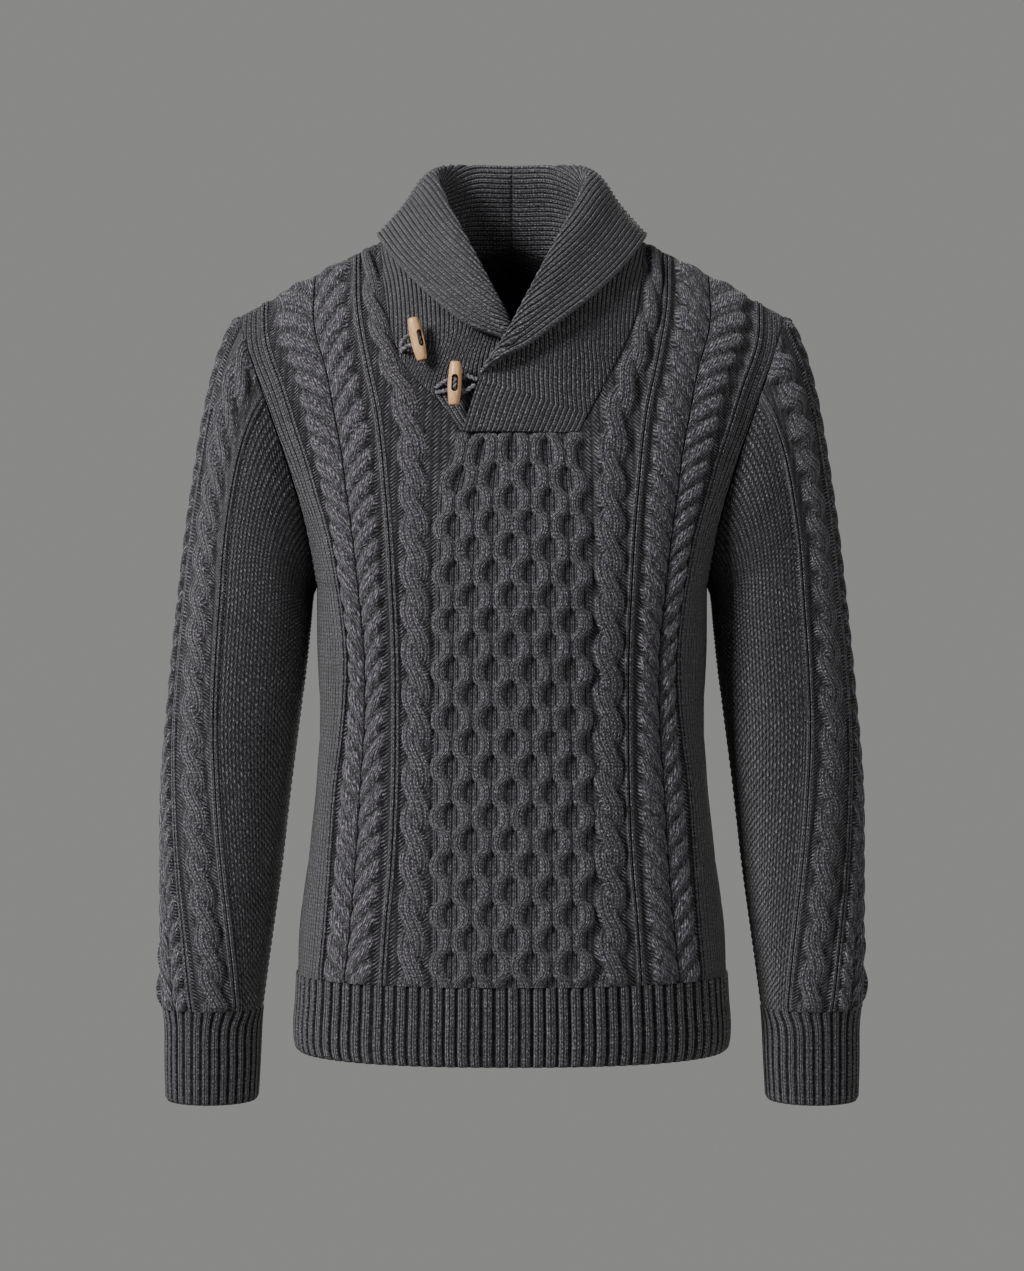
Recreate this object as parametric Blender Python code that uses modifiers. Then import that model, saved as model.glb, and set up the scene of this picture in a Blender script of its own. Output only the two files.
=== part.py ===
"""Shawl-collar cable-knit pullover, filled out as if worn: cloth walls with raised cables, and two toggles.

Sizes are in millimetres and turned into metres as each vertex is made. X runs to the wearer's left, Y to
the back and Z up. The origin is midway between the two high shoulder points.
"""

import math
from collections import namedtuple
from functools import lru_cache

import bmesh
import bpy
import numpy as np
from mathutils import Matrix

GARMENT = "shawl_collar_pullover"
MM = 0.001
WALL = 2.6  # thickness of the plain knit between cables
SEAM_GAP = 0.3  # clearance between two pieces at a seam
FRONT, BACK = -1, 1

# Torso --------------------------------------------------------------------------------------------------
SHOULDER_POINT = np.array([228.0, 0.0, -60.0])
UNDERARM_POINT = np.array([163.0, 0.0, -285.0])
UNDERARM_LEVEL = 285.0
UNDERARM_SOFT = 70.0  # how far above and below the underarm the courses away from its seam are rounded
UNDERARM_FLARE = 5  # more keeps the bend towards the seam closer to it
HEM_LEVEL = 609.0
SECTION_POWER = 2.35  # 2 is an ellipse, more is squarer
ARMHOLE_FRONT, ARMHOLE_BACK, ARMHOLE_BOW = 50.0, 54.0, 8.0
ARMHOLE_POWER = 0.9
ARMHOLE_AIM = np.array([150.0, 0.0, -170.0])  # the seam's raw edges point towards this spot
PLACKET_Z = -164.0  # the level seam across the bottom of the placket

# A row for each knitted course that sets the torso's shape, counted in mm down from the shoulder seam.
# Columns: level, height at centre front, height at centre back, depth at centre front, depth at centre
# back, half width at the side seam (below the underarm), degrees the row turns from centre to its end.
TORSO = np.array(
    [
        (0, 62, 62, 0, 0, 163, 14),
        (45, -6, 2, 56, 78, 163, 48),
        (90, -60, -50, 80, 100, 163, 58),
        (135, -118, -112, 93, 113, 163, 65),
        (180, -178, -176, 103, 119, 163, 72),
        (230, -230, -230, 112, 120, 163, 81),
        (285, -285, -285, 117, 117, 163, 90),
        (340, -340, -340, 117, 110, 162.6, 90),
        (395, -395, -395, 114, 104, 160.3, 90),
        (450, -450, -450, 113, 104, 163.4, 90),
        (510, -510, -510, 116, 110, 169.5, 90),
        (570, -570, -570, 121, 118, 177.3, 90),
        (609, -609, -609, 123, 121, 179, 90),
    ],
    float,
)

# Where each column of knitting runs, in mm round from the centre line at each level.
# Columns: level, edge of the honeycomb (the neck seam above the placket), rope inner and outer edge,
# inner rib pair, staghorn inner edge, spine and outer edge, outer rib pair.
FRONT_LINES = np.array(
    [
        (0, 124.7, 130, 142, 147, 156, 186, 222, 234),
        (45, 114, 117, 131, 137, 147, 176, 206, 219),
        (90, 97, 100, 117, 126, 136, 161, 187, 202),
        (135, 72, 79, 100, 113, 123, 149, 174, 186),
        (165, 55, 71, 94, 107, 116.5, 141.5, 165, 175.5),
        (200, 60, 69, 91.5, 103, 112.5, 137, 158, 167),
        (250, 61, 67, 90, 99, 108.5, 131, 150, 155.5),
        (300, 62, 66.5, 89.5, 96.5, 106, 126.5, 143.5, 148.5),
        (350, 62.5, 66, 89, 95, 105, 123.5, 139.5, 145.5),
        (400, 63, 65.5, 88.5, 95, 105, 124, 141.5, 150),
        (450, 64, 66, 89, 95.5, 105.5, 127.5, 147, 158),
        (510, 64, 67, 90.5, 98, 108, 131, 152, 162),
        (570, 64, 68.5, 91.5, 103, 113, 136, 157, 165),
        (609, 64, 69.5, 92.5, 105.5, 115.5, 141, 163, 170),
    ],
    float,
)
BACK_LINES = np.array(
    [
        (0, 90, 96, 120, 128.3, 139, 170, 202, 228),
        (45, 84, 89, 113, 121, 130.5, 158, 187, 212),
        (90, 78, 83, 107, 115, 124.5, 150, 176, 198),
        (135, 73, 78, 102, 110, 119.5, 144, 168, 186),
        (200, 68, 73, 97, 104, 113.5, 136, 159, 172),
        (285, 64, 68.5, 92, 98.5, 108, 128, 148, 157),
        (340, 62, 66.5, 89.5, 95.5, 105, 123, 140.5, 148),
        (395, 61, 65, 88, 94, 103.5, 121.5, 139, 147),
        (450, 61, 65, 88, 95, 104.5, 125, 145, 156),
        (510, 62, 66, 89, 97, 107, 129.5, 151, 161),
        (570, 63, 68, 91, 102, 112, 135, 157, 165),
        (609, 64, 69.5, 92.5, 105.5, 115.5, 141, 163, 170),
    ],
    float,
)
HONEY, ROPE_IN, ROPE_OUT, RIBS_IN, STAG_IN, SPINE, STAG_OUT, RIBS_OUT = range(8)
BACK_NECK_DROP = 40.0  # level of the neck seam at centre back

# Cables -------------------------------------------------------------------------------------------------
STRANDS_EACH_SIDE = 4
STRAND_HALF_WIDTH = 3.6
STRAND_SWING = 3.9
STRAND_HEIGHT = 3.6
HONEY_STEP = 19.6  # from one touch of two strands to the next touch beside it
HONEY_START = 16.0
ROPE_STEP = 33.0
ROPE_SLANT = 0.75
STAG_STEP = 20.0
STAG_LIFT = 24.0  # a lobe's outer end is this much higher than where it meets the spine
ROPE_WIDTH = 23.0
ROPE_HEIGHTS = (1.8, 4.2)  # between two lobes and on a lobe
LOBE_HEIGHTS = (1.2, 3.8)
SPINE_HEIGHT = (2.2,)
CABLE_FOOT = (0.3,)  # height at a cable's two sides
SEAM_HEIGHT = 1.2  # the most that a cable stands up where it is cut by a seam
RIB_HALF = 1.8
RIB_HEIGHT = 2.0
RIB_VALLEY = 0.9
MOSS_HEIGHT = 1.0
STOCKINETTE_HEIGHT = 0.6
PLAIN_STEP = 68.0

# Sleeve -------------------------------------------------------------------------------------------------
# A row for each ring of the sleeve, in mm down its outer line from the shoulder point.
# Columns: length, outer x, outer z, inner x, inner z, half depth to the front, to the back, centre y,
# bow of the ring, degrees that the knitting turns to the front, spread of its columns.
SLEEVE = np.array(
    [
        (0, 228, -60, 163, -285, 50, 54, 0, 8, 0, 1),
        (33, 240.5, -88, 164.2, -286.6, 56, 59, 0, 6, 0, 1),
        (75, 251.5, -129, 165.4, -289, 61, 64, 1, 3, 0, 1),
        (133, 261.5, -186, 166.8, -293, 64, 67, 3, 0, -1, 1),
        (188, 269.5, -240, 168.2, -300, 65, 68, 5, 0, -2, 1),
        (238, 275.5, -290, 170, -320, 65, 67, 6, 0, -4, 1),
        (299, 282, -350, 174, -358, 63, 65, 6, 0, -6, 1),
        (354, 287, -405, 180, -405, 61, 62, 4, 0, -10, 1),
        (409, 290, -459, 187, -462, 58, 59, 1, 0, -17.5, 1),
        (469, 290, -518, 193, -518, 55, 55, -4, 0, -24, 1.03),
        (529, 290.5, -576, 200.5, -576, 51, 51, -10, 0, -36, 1.05),
        (574, 291, -618.5, 206, -618.5, 48, 47, -15, 0, -45, 1.08),
        (593, 290, -636.5, 208, -636.5, 45, 44, -17, 0, -48, 1.08),
        (606, 288.5, -649, 209, -649, 42.5, 41.5, -18, 0, -48, 1),
        (640, 287.8, -682, 210.3, -682, 41.5, 40.5, -21, 0, -48, 1),
        (671, 286.5, -712.5, 211.8, -712.5, 40.5, 39.5, -24, 0, -48, 1),
    ],
    float,
)
CUFF_SEAM = 593.0
SLEEVE_END = 671.0
CUFF_SEAM_Z = -636.5
SLEEVE_RIBS_IN, SLEEVE_RIBS_OUT = 22.0, 68.0  # degrees from the sleeve's centre line to each pair of ribs
SLEEVE_RIB_HALF = 1.7
MOSS_ANGLES = (90.0, 112.0, 134.0, 157.0)

# Ribbed bands -------------------------------------------------------------------------------------------
# Columns: z, half width, depth at the front, depth at the back.
HEM_BAND = np.array(
    [
        (-673, 179, 122, 120),
        (-664, 181, 124, 122),
        (-650, 181.5, 124.5, 122),
        (-630, 180, 124, 121.5),
        (-609, 179, 123, 121),
    ],
    float,
)
HEM_RIBS = 98
HEM_RIB_HEIGHT = 2.3
CUFF_RIBS = 28
CUFF_RIB_HEIGHT = 2.0

# Collar -------------------------------------------------------------------------------------------------
# A row for each station along half of the collar, from centre back round the neck and down the placket.
# Columns: roll line x, y, z and free edge x, y, z, and the height of the seam where the station starts.
# The seam's own x and y come from the panel it is sewn to. The left half lies on the right half.
COLLAR_LEFT = np.array(
    [
        (0, 60, 74, 0, 94, -14),
        (34, 55, 74, 52, 89, -11),
        (57, 38, 71, 89, 63, -2),
        (65, 14, 62, 109.5, 30, 9),
        (61.5, -8, 49, 113, 4, 8),
        (53.5, -35, 28, 110, -22, 1),
        (41, -62, 2, 95, -52, -21),
        (25.3, -87, -30, 69, -86, -50),
        (9.3, -103, -62, 37, -107, -77),
        (-2, -110, -84, 12, -114, -96),
        (-14, -110, -103, -9.5, -117, -107.5),
        (-27, -108, -124, -27, -108, -124),
        (-40, -103.5, -163.85, -40, -103.5, -163.85),
    ],
    float,
)
COLLAR_RIGHT = np.array(
    [
        (0, 60, 74, 0, 94, -14),
        (34, 55, 74, 52, 89, -11),
        (57, 38, 71, 89, 63, -2),
        (65, 14, 62, 109.5, 30, 9),
        (61.5, -8, 49, 113, 4, 8),
        (53.5, -34, 28, 110, -22, 1),
        (41, -60, 2, 95, -51, -21),
        (25.3, -83, -30, 69, -84, -50),
        (9.3, -96, -62, 37, -102, -77),
        (-2, -97, -84, 5, -101, -91),
        (-13, -96, -106, -13, -96, -106),
        (-25, -94, -126, -25, -94, -126),
        (-40, -92.5, -163.85, -40, -92.5, -163.85),
    ],
    float,
)
COLLAR_FALL_RIBS, COLLAR_BAND_RIBS = 8, 10
COLLAR_RIB_HEIGHT = 0.7
COLLAR_FOLD = 4.2  # half the distance between band and fall at the roll
COLLAR_BULGE = 2.0
COLLAR_LAP_BULGE = 2.0
COLLAR_BACK_OFF = 1.6  # how much further than a panel the collar keeps back from their seam
COLLAR_SHORT_FALL = 24.0  # where the fall is shorter than this, its ribs spread over into the band
# Neck seam on the front: level, mm round from the centre on the left and on the right.
NECK_SEAM = np.array(
    [
        (0, 124.7, 124.7),
        (22, 119.5, 119),
        (45, 113.5, 112.5),
        (75, 104, 105),
        (105, 89, 93),
        (120, 80, 81),
        (135, 71, 66),
        (150, 62, 52),
        (164, 54, 42),
    ],
    float,
)
NECK_STATIONS = (4, 5, 6, 7, 8, 9, 10, 11, 12)  # the collar's station at each row above
BACK_STATIONS = (0, 1, 2, 3, 4)
BACK_NECK_S = (0, 45, 86, 109, 124.7)  # mm round from centre back at each of these stations

# Toggles ------------------------------------------------------------------------------------------------
TOGGLE_SIDES = 10
# The barrel's outline from its top end to its bottom end: radius, place along it from the middle.
TOGGLE_PROFILE = ((0, 17.5), (3.3, 17.5), (4.1, 16.8), (5.5, 6), (5.5, -6), (4.1, -16.8), (3.3, -17.5), (0, -17.5))
TOGGLE_RADIUS = 5.5
HOLE_SIDES = 12
SLOT_WIDTH, SLOT_LENGTH = 5.3, 13.8
SLOT_FLOOR = 0.5  # the slot's floor lies this far in front of the barrel's axis
CORD_HOLE_RADIUS = 2.1
CORD_DIAMETER = 3.2
CORD_HOLE_PLACE = (SLOT_LENGTH - SLOT_WIDTH) / 2  # along the barrel from its middle to each hole
# One half of a cord's way through its toggle: out from the barrel's axis, along from its middle.
CORD_THREADING = ((-6.0, CORD_HOLE_PLACE), (1.2, 4.15), (2.2, 3.3), (2.45, 2.0))
# Centre, degrees its top leans to the wearer's left, and degrees its slot is turned to the wearer's left.
TOGGLE_UPPER = ((-76.3, -97.0, -88.9), -12.7, 35.0)
TOGGLE_LOWER = ((-45.9, -108.8, -125.6), 2.5, 0.0)
# Each cord's two strands behind its toggle, as x, y, z from the toggle's centre. The last point is where the
# strand is sewn to the band, so its y comes from the band.
CORD_UPPER = (
    ((-7.2, 6.0, 3.3), (-10.5, 6.2, 1.0), (-13.6, 2.2, -4.0)),
    ((-6.5, 6.2, -5.0), (-10.0, 6.2, -6.2), (-13.2, 2.6, -7.9)),
)
CORD_LOWER = (
    ((-0.4, 8.8, 4.2), (-2.4, 10.7, 4.1), (-6.5, 10.9, 3.2), (-15.7, 0.7, -2.4)),
    ((-0.6, 8.8, -4.2), (-2.6, 10.7, -4.4), (-6.5, 10.9, -5.0), (-15.7, 0.7, -6.4)),
)
# The loop sewn to the left band's edge, round the lower cord behind its toggle: x, y, z.
LOOP_LOWER = (
    (-27.9, -108, -122.9),
    (-33, -107.2, -120.6),
    (-38, -104.5, -118.7),
    (-42, -101.9, -117.9),
    (-46, -101.4, -117.8),
    (-49, -101.4, -119.3),
    (-50.2, -101.4, -122.5),
    (-50.2, -101.4, -128.6),
    (-49, -101.4, -131.9),
    (-46, -101.4, -133.4),
    (-42, -101.9, -133.3),
    (-38, -104.5, -131.6),
    (-33, -107.2, -129.1),
    (-29.4, -108, -126.5),
)

WOOL = (0.075, 0.075, 0.08)
WOOL_DARK = (0.06, 0.06, 0.065)
WOOD = (0.72, 0.47, 0.26)
YARN = (0.16, 0.16, 0.165)


# ---- Small mathematics ---------------------------------------------------------------------------------
def unit(vector):
    return vector / np.linalg.norm(vector)


def smooth(x, table):
    """The table's columns after the first, read at x on smooth curves through its rows."""
    xs = table[:, 0]
    x = min(max(x, xs[0]), xs[-1])
    steps = np.diff(xs)[:, None]
    slopes = np.diff(table[:, 1:], axis=0) / steps
    tangents = np.vstack([slopes[:1], (slopes[:-1] + slopes[1:]) / 2, slopes[-1:]])
    row = min(int(np.searchsorted(xs, x, side="right")) - 1, len(xs) - 2)
    width = xs[row + 1] - xs[row]
    t = (x - xs[row]) / width
    return (
        (2 * t**3 - 3 * t**2 + 1) * table[row, 1:]
        + (t**3 - 2 * t**2 + t) * width * tangents[row]
        + (3 * t**2 - 2 * t**3) * table[row + 1, 1:]
        + (t**3 - t**2) * width * tangents[row + 1]
    )


def along(points, distances, at):
    """The point at a distance along a polyline."""
    return np.array([np.interp(at, distances, points[:, axis]) for axis in range(3)])


def lengths(points):
    return np.concatenate([[0], np.cumsum(np.linalg.norm(np.diff(points, axis=0), axis=1))])


# ---- Torso ---------------------------------------------------------------------------------------------
def armhole(angle, side):
    """A point of the left armhole's seam. The angle is 0 at the shoulder and pi at the underarm."""
    centre = (SHOULDER_POINT + UNDERARM_POINT) / 2
    point = centre + (SHOULDER_POINT - UNDERARM_POINT) / 2 * math.cos(angle)
    swell = max(math.sin(angle), 0.0)
    point[0] -= ARMHOLE_BOW * swell**2 * (1 - math.cos(angle)) / 1.4
    point[1] = (-ARMHOLE_FRONT if side == FRONT else ARMHOLE_BACK) * swell**ARMHOLE_POWER
    return point


def armhole_seam(angle, side):
    """Point, inward direction and the direction from torso to sleeve, on the left armhole's seam."""
    point = armhole(angle, side)
    nudge = 0.01
    before = armhole(max(angle - nudge, 0), side)
    after = armhole(min(angle + nudge, math.pi), side)
    tangent = after - before
    if angle <= 0 or angle >= math.pi:
        tangent = np.array([0.0, side, 0.0])
    inward = unit(ARMHOLE_AIM - point)
    across = unit(np.cross(tangent, inward)) * side
    if angle >= math.pi / 2 and across[0] < 0 or angle < math.pi / 2 and across[0] < 0:
        across = -across
    return point, inward, across


def armhole_angle(level):
    return math.acos(min(max(1 - 2 * level / UNDERARM_LEVEL, -1), 1))


@lru_cache(maxsize=None)
def course(side, level):
    """One knitted course on the left half, from the centre line to its end: points and lengths along it."""
    front_z, back_z, front, back, half_width, turn = smooth(level, TORSO)
    start = np.array([0, -front, front_z]) if side == FRONT else np.array([0, back, back_z])
    if level < UNDERARM_LEVEL:
        end = armhole(armhole_angle(level), side)
    else:
        end = np.array([half_width, 0, -level])
    soft = softened(end, level, side)
    angles = np.linspace(0, math.radians(turn), 61)
    across = np.sin(angles) ** (2 / SECTION_POWER)
    deep = 1 - np.maximum(np.cos(angles), 0) ** (2 / SECTION_POWER)
    across, deep = across / across[-1], deep / deep[-1]
    points = start + (soft - start) * np.stack([across, deep, across], axis=1)
    points += (end - soft) * across[:, None] ** UNDERARM_FLARE
    return points, lengths(points)


def softened(end, level, side):
    """Where a course would end if the corner under the arm were rounded off, as it is away from the seam."""
    away = level - UNDERARM_LEVEL
    rounding = max(UNDERARM_SOFT - abs(away), 0) ** 2 / (4 * UNDERARM_SOFT)
    slope = (SHOULDER_POINT - UNDERARM_POINT) / UNDERARM_LEVEL
    depth = end[1]
    if away > -UNDERARM_SOFT:
        share = min((away + UNDERARM_SOFT) / (2 * UNDERARM_SOFT), 1)
        depth = armhole(armhole_angle(UNDERARM_LEVEL - UNDERARM_SOFT), side)[1]
        depth *= 1 - share * share * (3 - 2 * share)
    return np.array([end[0] + slope[0] * rounding, depth, end[2] + (slope[2] - 1) * rounding])


def course_length(side, level):
    return course(side, round(level, 3))[1][-1]


def torso(side, s, level):
    """The plain outer face of the front or back, s mm round from the centre line."""
    points, distances = course(side, round(level, 3))
    point = along(points, distances, abs(s))
    point[0] *= 1 if s >= 0 else -1
    return point


def torso_normal(side, s, level):
    edge = course_length(side, level)
    inside = math.copysign(min(abs(s), edge - 2), s)
    up, down = max(level - 1.5, 0), min(level + 1.5, HEM_LEVEL)
    crosswise = torso(side, inside + 1.5, level) - torso(side, inside - 1.5, level)
    downward = torso(side, inside, down) - torso(side, inside, up)
    normal = unit(np.cross(crosswise, downward))
    return normal if normal[1] * side > 0 else -normal


def level_at_height(side, s, z):
    low, high = 0.0, HEM_LEVEL
    for _ in range(30):
        middle = (low + high) / 2
        low, high = (middle, high) if torso(side, s, middle)[2] > z else (low, middle)
    return (low + high) / 2


def neck_edge(mirror, level):
    """How far round the front's neck seam is at a level, on the left (mirror 1) or the right (-1)."""
    left, right = smooth(level, NECK_SEAM)
    return left if mirror == 1 else right


def line(side, mirror, index, level):
    """Where one column of knitting runs at a level."""
    table = FRONT_LINES if side == FRONT else BACK_LINES
    value = smooth(level, table)[index]
    bottom = NECK_SEAM[-1, 0]
    if side == FRONT and index == HONEY and level < 215:
        blend = max(0.0, (level - bottom) / (215 - bottom)) ** 0.7
        start = neck_edge(mirror, min(level, bottom))
        value = start + (smooth(215, table)[index] - start) * blend
    return value


def seam_frame(side, s, level, seams):
    """Inward direction of the cut edge, and how far this piece keeps back from the seam."""
    mirror = 1 if s >= 0 else -1
    flip = np.array([mirror, 1, 1])
    inward, back_off = None, np.zeros(3)
    if "a" in seams:
        _, inward, across = armhole_seam(armhole_angle(level), side)
        inward = inward * flip
        back_off -= across * flip * SEAM_GAP / 2
    if "s" in seams:
        share = max(0.0, (abs(s) - NECK_SEAM[0, 1]) / (course_length(side, 0) - NECK_SEAM[0, 1]))
        end = armhole_seam(0, side)[1]
        inward = unit(np.array([0, 0, -1.0]) * (1 - share) + np.array([end[0] * mirror, 0, end[2]]) * share)
        back_off += np.array([0, side * SEAM_GAP / 2, 0])
    if "d" in seams:
        inward = np.array([-mirror, 0, 0.0]) if inward is None else inward
        back_off += np.array([0, side * SEAM_GAP / 2, 0])
    if "n" in seams:
        normal = torso_normal(side, s, level)
        step = 2.0
        if side == FRONT:
            here = torso(side, mirror * neck_edge(mirror, level), level)
            there = torso(side, mirror * neck_edge(mirror, level + step), level + step)
        else:
            here = torso(side, s, back_neck_level(s))
            there = torso(side, s + mirror * step, back_neck_level(abs(s) + step))
        across = unit(np.cross(there - here, normal))
        away = torso(side, s + mirror * 4, level + 3) - torso(side, s, level)
        across = across if across @ away > 0 else -across
        back_off += across * SEAM_GAP / 2
        if inward is None:
            inward = -normal
    if "p" in seams:
        normal = torso_normal(side, s, level)
        inward = -unit(np.array([normal[0], normal[1], 0]))
        back_off = np.array([0, 0, -SEAM_GAP / 2])
    if "h" in seams:
        normal = torso_normal(side, s, level)
        flat = -unit(np.array([normal[0], normal[1], 0]))
        inward = flat if "d" not in seams else np.array([-mirror, 0, 0.0])
        back_off += np.array([0, 0, SEAM_GAP / 2])
    return inward, back_off


def back_neck_level(s):
    share = min(abs(s) / NECK_SEAM[0, 1], 1)
    return BACK_NECK_DROP * (1 - share**2.2)


# One vertex of the front or back: mm round from the centre line, level, height over the plain knit, letters
# of the seams it lies on, and the mark by which its column is joined to the next.
Stitch = namedtuple("Stitch", "s level height seams mark")


def panel_point(side, stitch, inner=False):
    s, level, height, seams, _ = stitch
    point = torso(side, s, level)
    if seams:
        inward, back_off = seam_frame(side, s, level, seams)
        if "p" in seams:
            point[2] = PLACKET_Z
        return point + back_off + inward * (WALL if inner else -height)
    return point + torso_normal(side, s, level) * (-WALL if inner else height)


# ---- Cloth walls ---------------------------------------------------------------------------------------
class Column:
    """A line of vertices down a sheet. Its first `skip` vertices join only the neighbour on one side."""

    def __init__(self, points, marks, across, skip=0, skip_side=0):
        self.points, self.marks, self.across = points, marks, across
        self.skip, self.skip_side = skip, skip_side
        self.verts = []


def strip(mesh, a, b, marks_a, marks_b):
    """Faces between two lines of vertices. Lines of one length join rung by rung, others by their marks."""
    i = j = 0
    even = len(a) == len(b)
    while i < len(a) - 1 or j < len(b) - 1:
        if even:
            mesh.faces.new((a[i], b[j], b[j + 1], a[i + 1]))
            i, j = i + 1, j + 1
        elif j == len(b) - 1 or (i < len(a) - 1 and sum(marks_a[i : i + 2]) <= sum(marks_b[j : j + 2])):
            mesh.faces.new((a[i], b[j], a[i + 1]))
            i += 1
        else:
            mesh.faces.new((a[i], b[j], b[j + 1]))
            j += 1


def join_columns(mesh, left, right):
    a = left.skip if left.skip_side > 0 else 0
    b = right.skip if right.skip_side < 0 else 0
    strip(mesh, left.verts[a:], right.verts[b:], left.marks[a:], right.marks[b:])


def top_edges(columns):
    """The vertices along a sheet's top, cut into pieces at its corners, each with its marks."""
    pieces = [([columns[0].verts[0]], [columns[0].across])]
    for left, right in zip(columns, columns[1:]):
        if left.skip and left.skip_side > 0:
            pieces.append((left.verts[: left.skip + 1], left.marks[: left.skip + 1]))
            pieces.append(([left.verts[left.skip]], [left.across]))
        if right.skip and right.skip_side < 0:
            pieces[-1][0].append(right.verts[right.skip])
            pieces[-1][1].append(right.across)
            rising = list(range(right.skip, -1, -1))
            pieces.append(([right.verts[k] for k in rising], [-right.marks[k] for k in rising]))
            pieces.append(([right.verts[0]], [right.across]))
        else:
            pieces[-1][0].append(right.verts[0])
            pieces[-1][1].append(right.across)
    return pieces


def cloth_wall(name, outer, inner, colour, tube=False):
    """One closed wall from its outer and inner sheets, each a list of columns from one side to the other."""
    mesh = bmesh.new()
    for columns in (outer, inner):
        for column in columns:
            column.verts = [mesh.verts.new([float(value) * MM for value in point]) for point in column.points]
        for left, right in zip(columns, columns[1:]):
            join_columns(mesh, left, right)
        if tube:
            join_columns(mesh, columns[-1], columns[0])
    for out_piece, in_piece in zip(top_edges(outer), top_edges(inner)):
        if tube:
            close_piece(out_piece)
            close_piece(in_piece)
        strip(mesh, out_piece[0], in_piece[0], out_piece[1], in_piece[1])
    ends = [([c.verts[-1] for c in columns], [c.across for c in columns]) for columns in (outer, inner)]
    if tube:
        close_piece(ends[0])
        close_piece(ends[1])
    else:
        for edge in (0, -1):
            strip(mesh, outer[edge].verts, inner[edge].verts, outer[edge].marks, inner[edge].marks)
    strip(mesh, ends[0][0], ends[1][0], ends[0][1], ends[1][1])
    bmesh.ops.recalc_face_normals(mesh, faces=mesh.faces)
    return finish(name, mesh, colour)


def close_piece(piece):
    piece[0].append(piece[0][0])
    piece[1].append(piece[1][0] + 1e6)


def finish(name, mesh, colour, roughness=0.95):
    data = bpy.data.meshes.new(name)
    mesh.to_mesh(data)
    mesh.free()
    part = bpy.data.objects.new(name, data)
    collection(GARMENT).objects.link(part)
    paint(part, colour, roughness)
    return part


def collection(name):
    """The scene's collection of this name, made when it is first asked for."""
    found = bpy.data.collections.get(name)
    if found is None:
        found = bpy.data.collections.new(name)
        bpy.context.scene.collection.children.link(found)
    return found


def paint(part, colour, roughness):
    material = bpy.data.materials.new(part.name)
    material.use_nodes = True
    shader = material.node_tree.nodes["Principled BSDF"]
    shader.inputs["Base Color"].default_value = (*colour, 1)
    shader.inputs["Roughness"].default_value = roughness
    part.data.materials.append(material)


def spread(start, stop, step):
    """Evenly spaced marks from start to stop, about one step apart."""
    count = max(1, round((stop - start) / step))
    return [start + (stop - start) * k / count for k in range(count + 1)]


# ---- Front and back ------------------------------------------------------------------------------------
def panel_top(side, place):
    """The level at which a column of the back, or of the front's honeycomb, starts below its top seam."""
    level = NECK_SEAM[-1, 0] if side == FRONT else 0.0
    for _ in range(12):
        s = place(level)
        level = level_at_height(FRONT, s, PLACKET_Z) if side == FRONT else back_neck_level(s)
    return level


def panel_column(place, heights, base_levels, top_seam, top=0.0, shift=0.0):
    """A column of stitches. Its base levels, given for a full-length panel, are squeezed below its top."""
    first = base_levels[0]
    stitches = []
    for row, base in enumerate(base_levels):
        mark = top + (HEM_LEVEL - top) * (base - first) / (HEM_LEVEL - first)
        room = min(mark - top, HEM_LEVEL - mark) * 0.45
        level = mark + max(-room, min(room, shift))
        seams = top_seam if row == 0 else "h" if row == len(base_levels) - 1 else ""
        height = heights[row % len(heights)] if not seams else min(heights[0], SEAM_HEIGHT)
        stitches.append(Stitch(place(level, row), level, height, seams, mark))
    return stitches


def make_column(side, stitches, inner=False, skip=0, skip_side=0):
    points = [panel_point(side, stitch, inner) for stitch in stitches]
    return Column(points, [stitch.mark for stitch in stitches], stitches[0].s, skip, skip_side)


def honeycomb(side, mirror):
    """Four strands that swing together and apart, from the centre line out: three columns to a strand."""
    bases = honeycomb_levels(NECK_SEAM[-1, 0] if side == FRONT else 0.0)
    columns = []
    for strand in range(STRANDS_EACH_SIDE):
        for foot, height in ((-STRAND_HALF_WIDTH, 0.4), (0, STRAND_HEIGHT), (STRAND_HALF_WIDTH, 0.4)):

            def place(level, row=0, strand=strand, foot=foot):
                pitch = line(side, mirror, HONEY, level) / STRANDS_EACH_SIDE
                swing = STRAND_SWING * (-1) ** (strand + row + 1) * (0.4 if row in (0, len(bases) - 1) else 1)
                return mirror * pitch * (strand + 0.5 + (swing + foot) / 16)

            top = panel_top(side, place)
            columns.append(panel_column(place, (height,), bases, "p" if side == FRONT else "n", top))
    return columns


def honeycomb_levels(first):
    return [first, *np.arange(first + HONEY_START, HEM_LEVEL - HONEY_STEP / 2, HONEY_STEP), HEM_LEVEL]


def fixed_place(side, mirror, index, offset=0.0):
    return lambda level, row=0: mirror * (line(side, mirror, index, level) + offset)


def between(side, mirror, index, other, share):
    def place(level, row=0):
        near, far = line(side, mirror, index, level), line(side, mirror, other, level)
        return mirror * (near + (far - near) * share)

    return place


def top_of(side, place):
    """Top level and seam letter of a column outside the honeycomb."""
    if side == FRONT:
        return 0.0, "s"
    if abs(abs(place(0.0)) - NECK_SEAM[0, 1]) < 0.01:
        return 0.0, "ns"
    level = panel_top(BACK, place)
    return (level, "n") if level > 0 else (0.0, "s")


def plain_column(side, place, height=0.0, step=PLAIN_STEP):
    return cable_column(side, place, (height,), step)


def cable_column(side, place, heights, pitch, shift=0.0):
    """A full-length column with all of the heights once in each pitch of its cable."""
    top, seam = top_of(side, place)
    return panel_column(place, heights, even_marks(HEM_LEVEL, pitch, len(heights)), seam, top, shift)


def even_marks(length, pitch, rows):
    """Marks from 0 to a length, some rows to a pitch, with a whole number of pitches."""
    return spread(0.0, length, length / (round(length / pitch) * rows))


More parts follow.
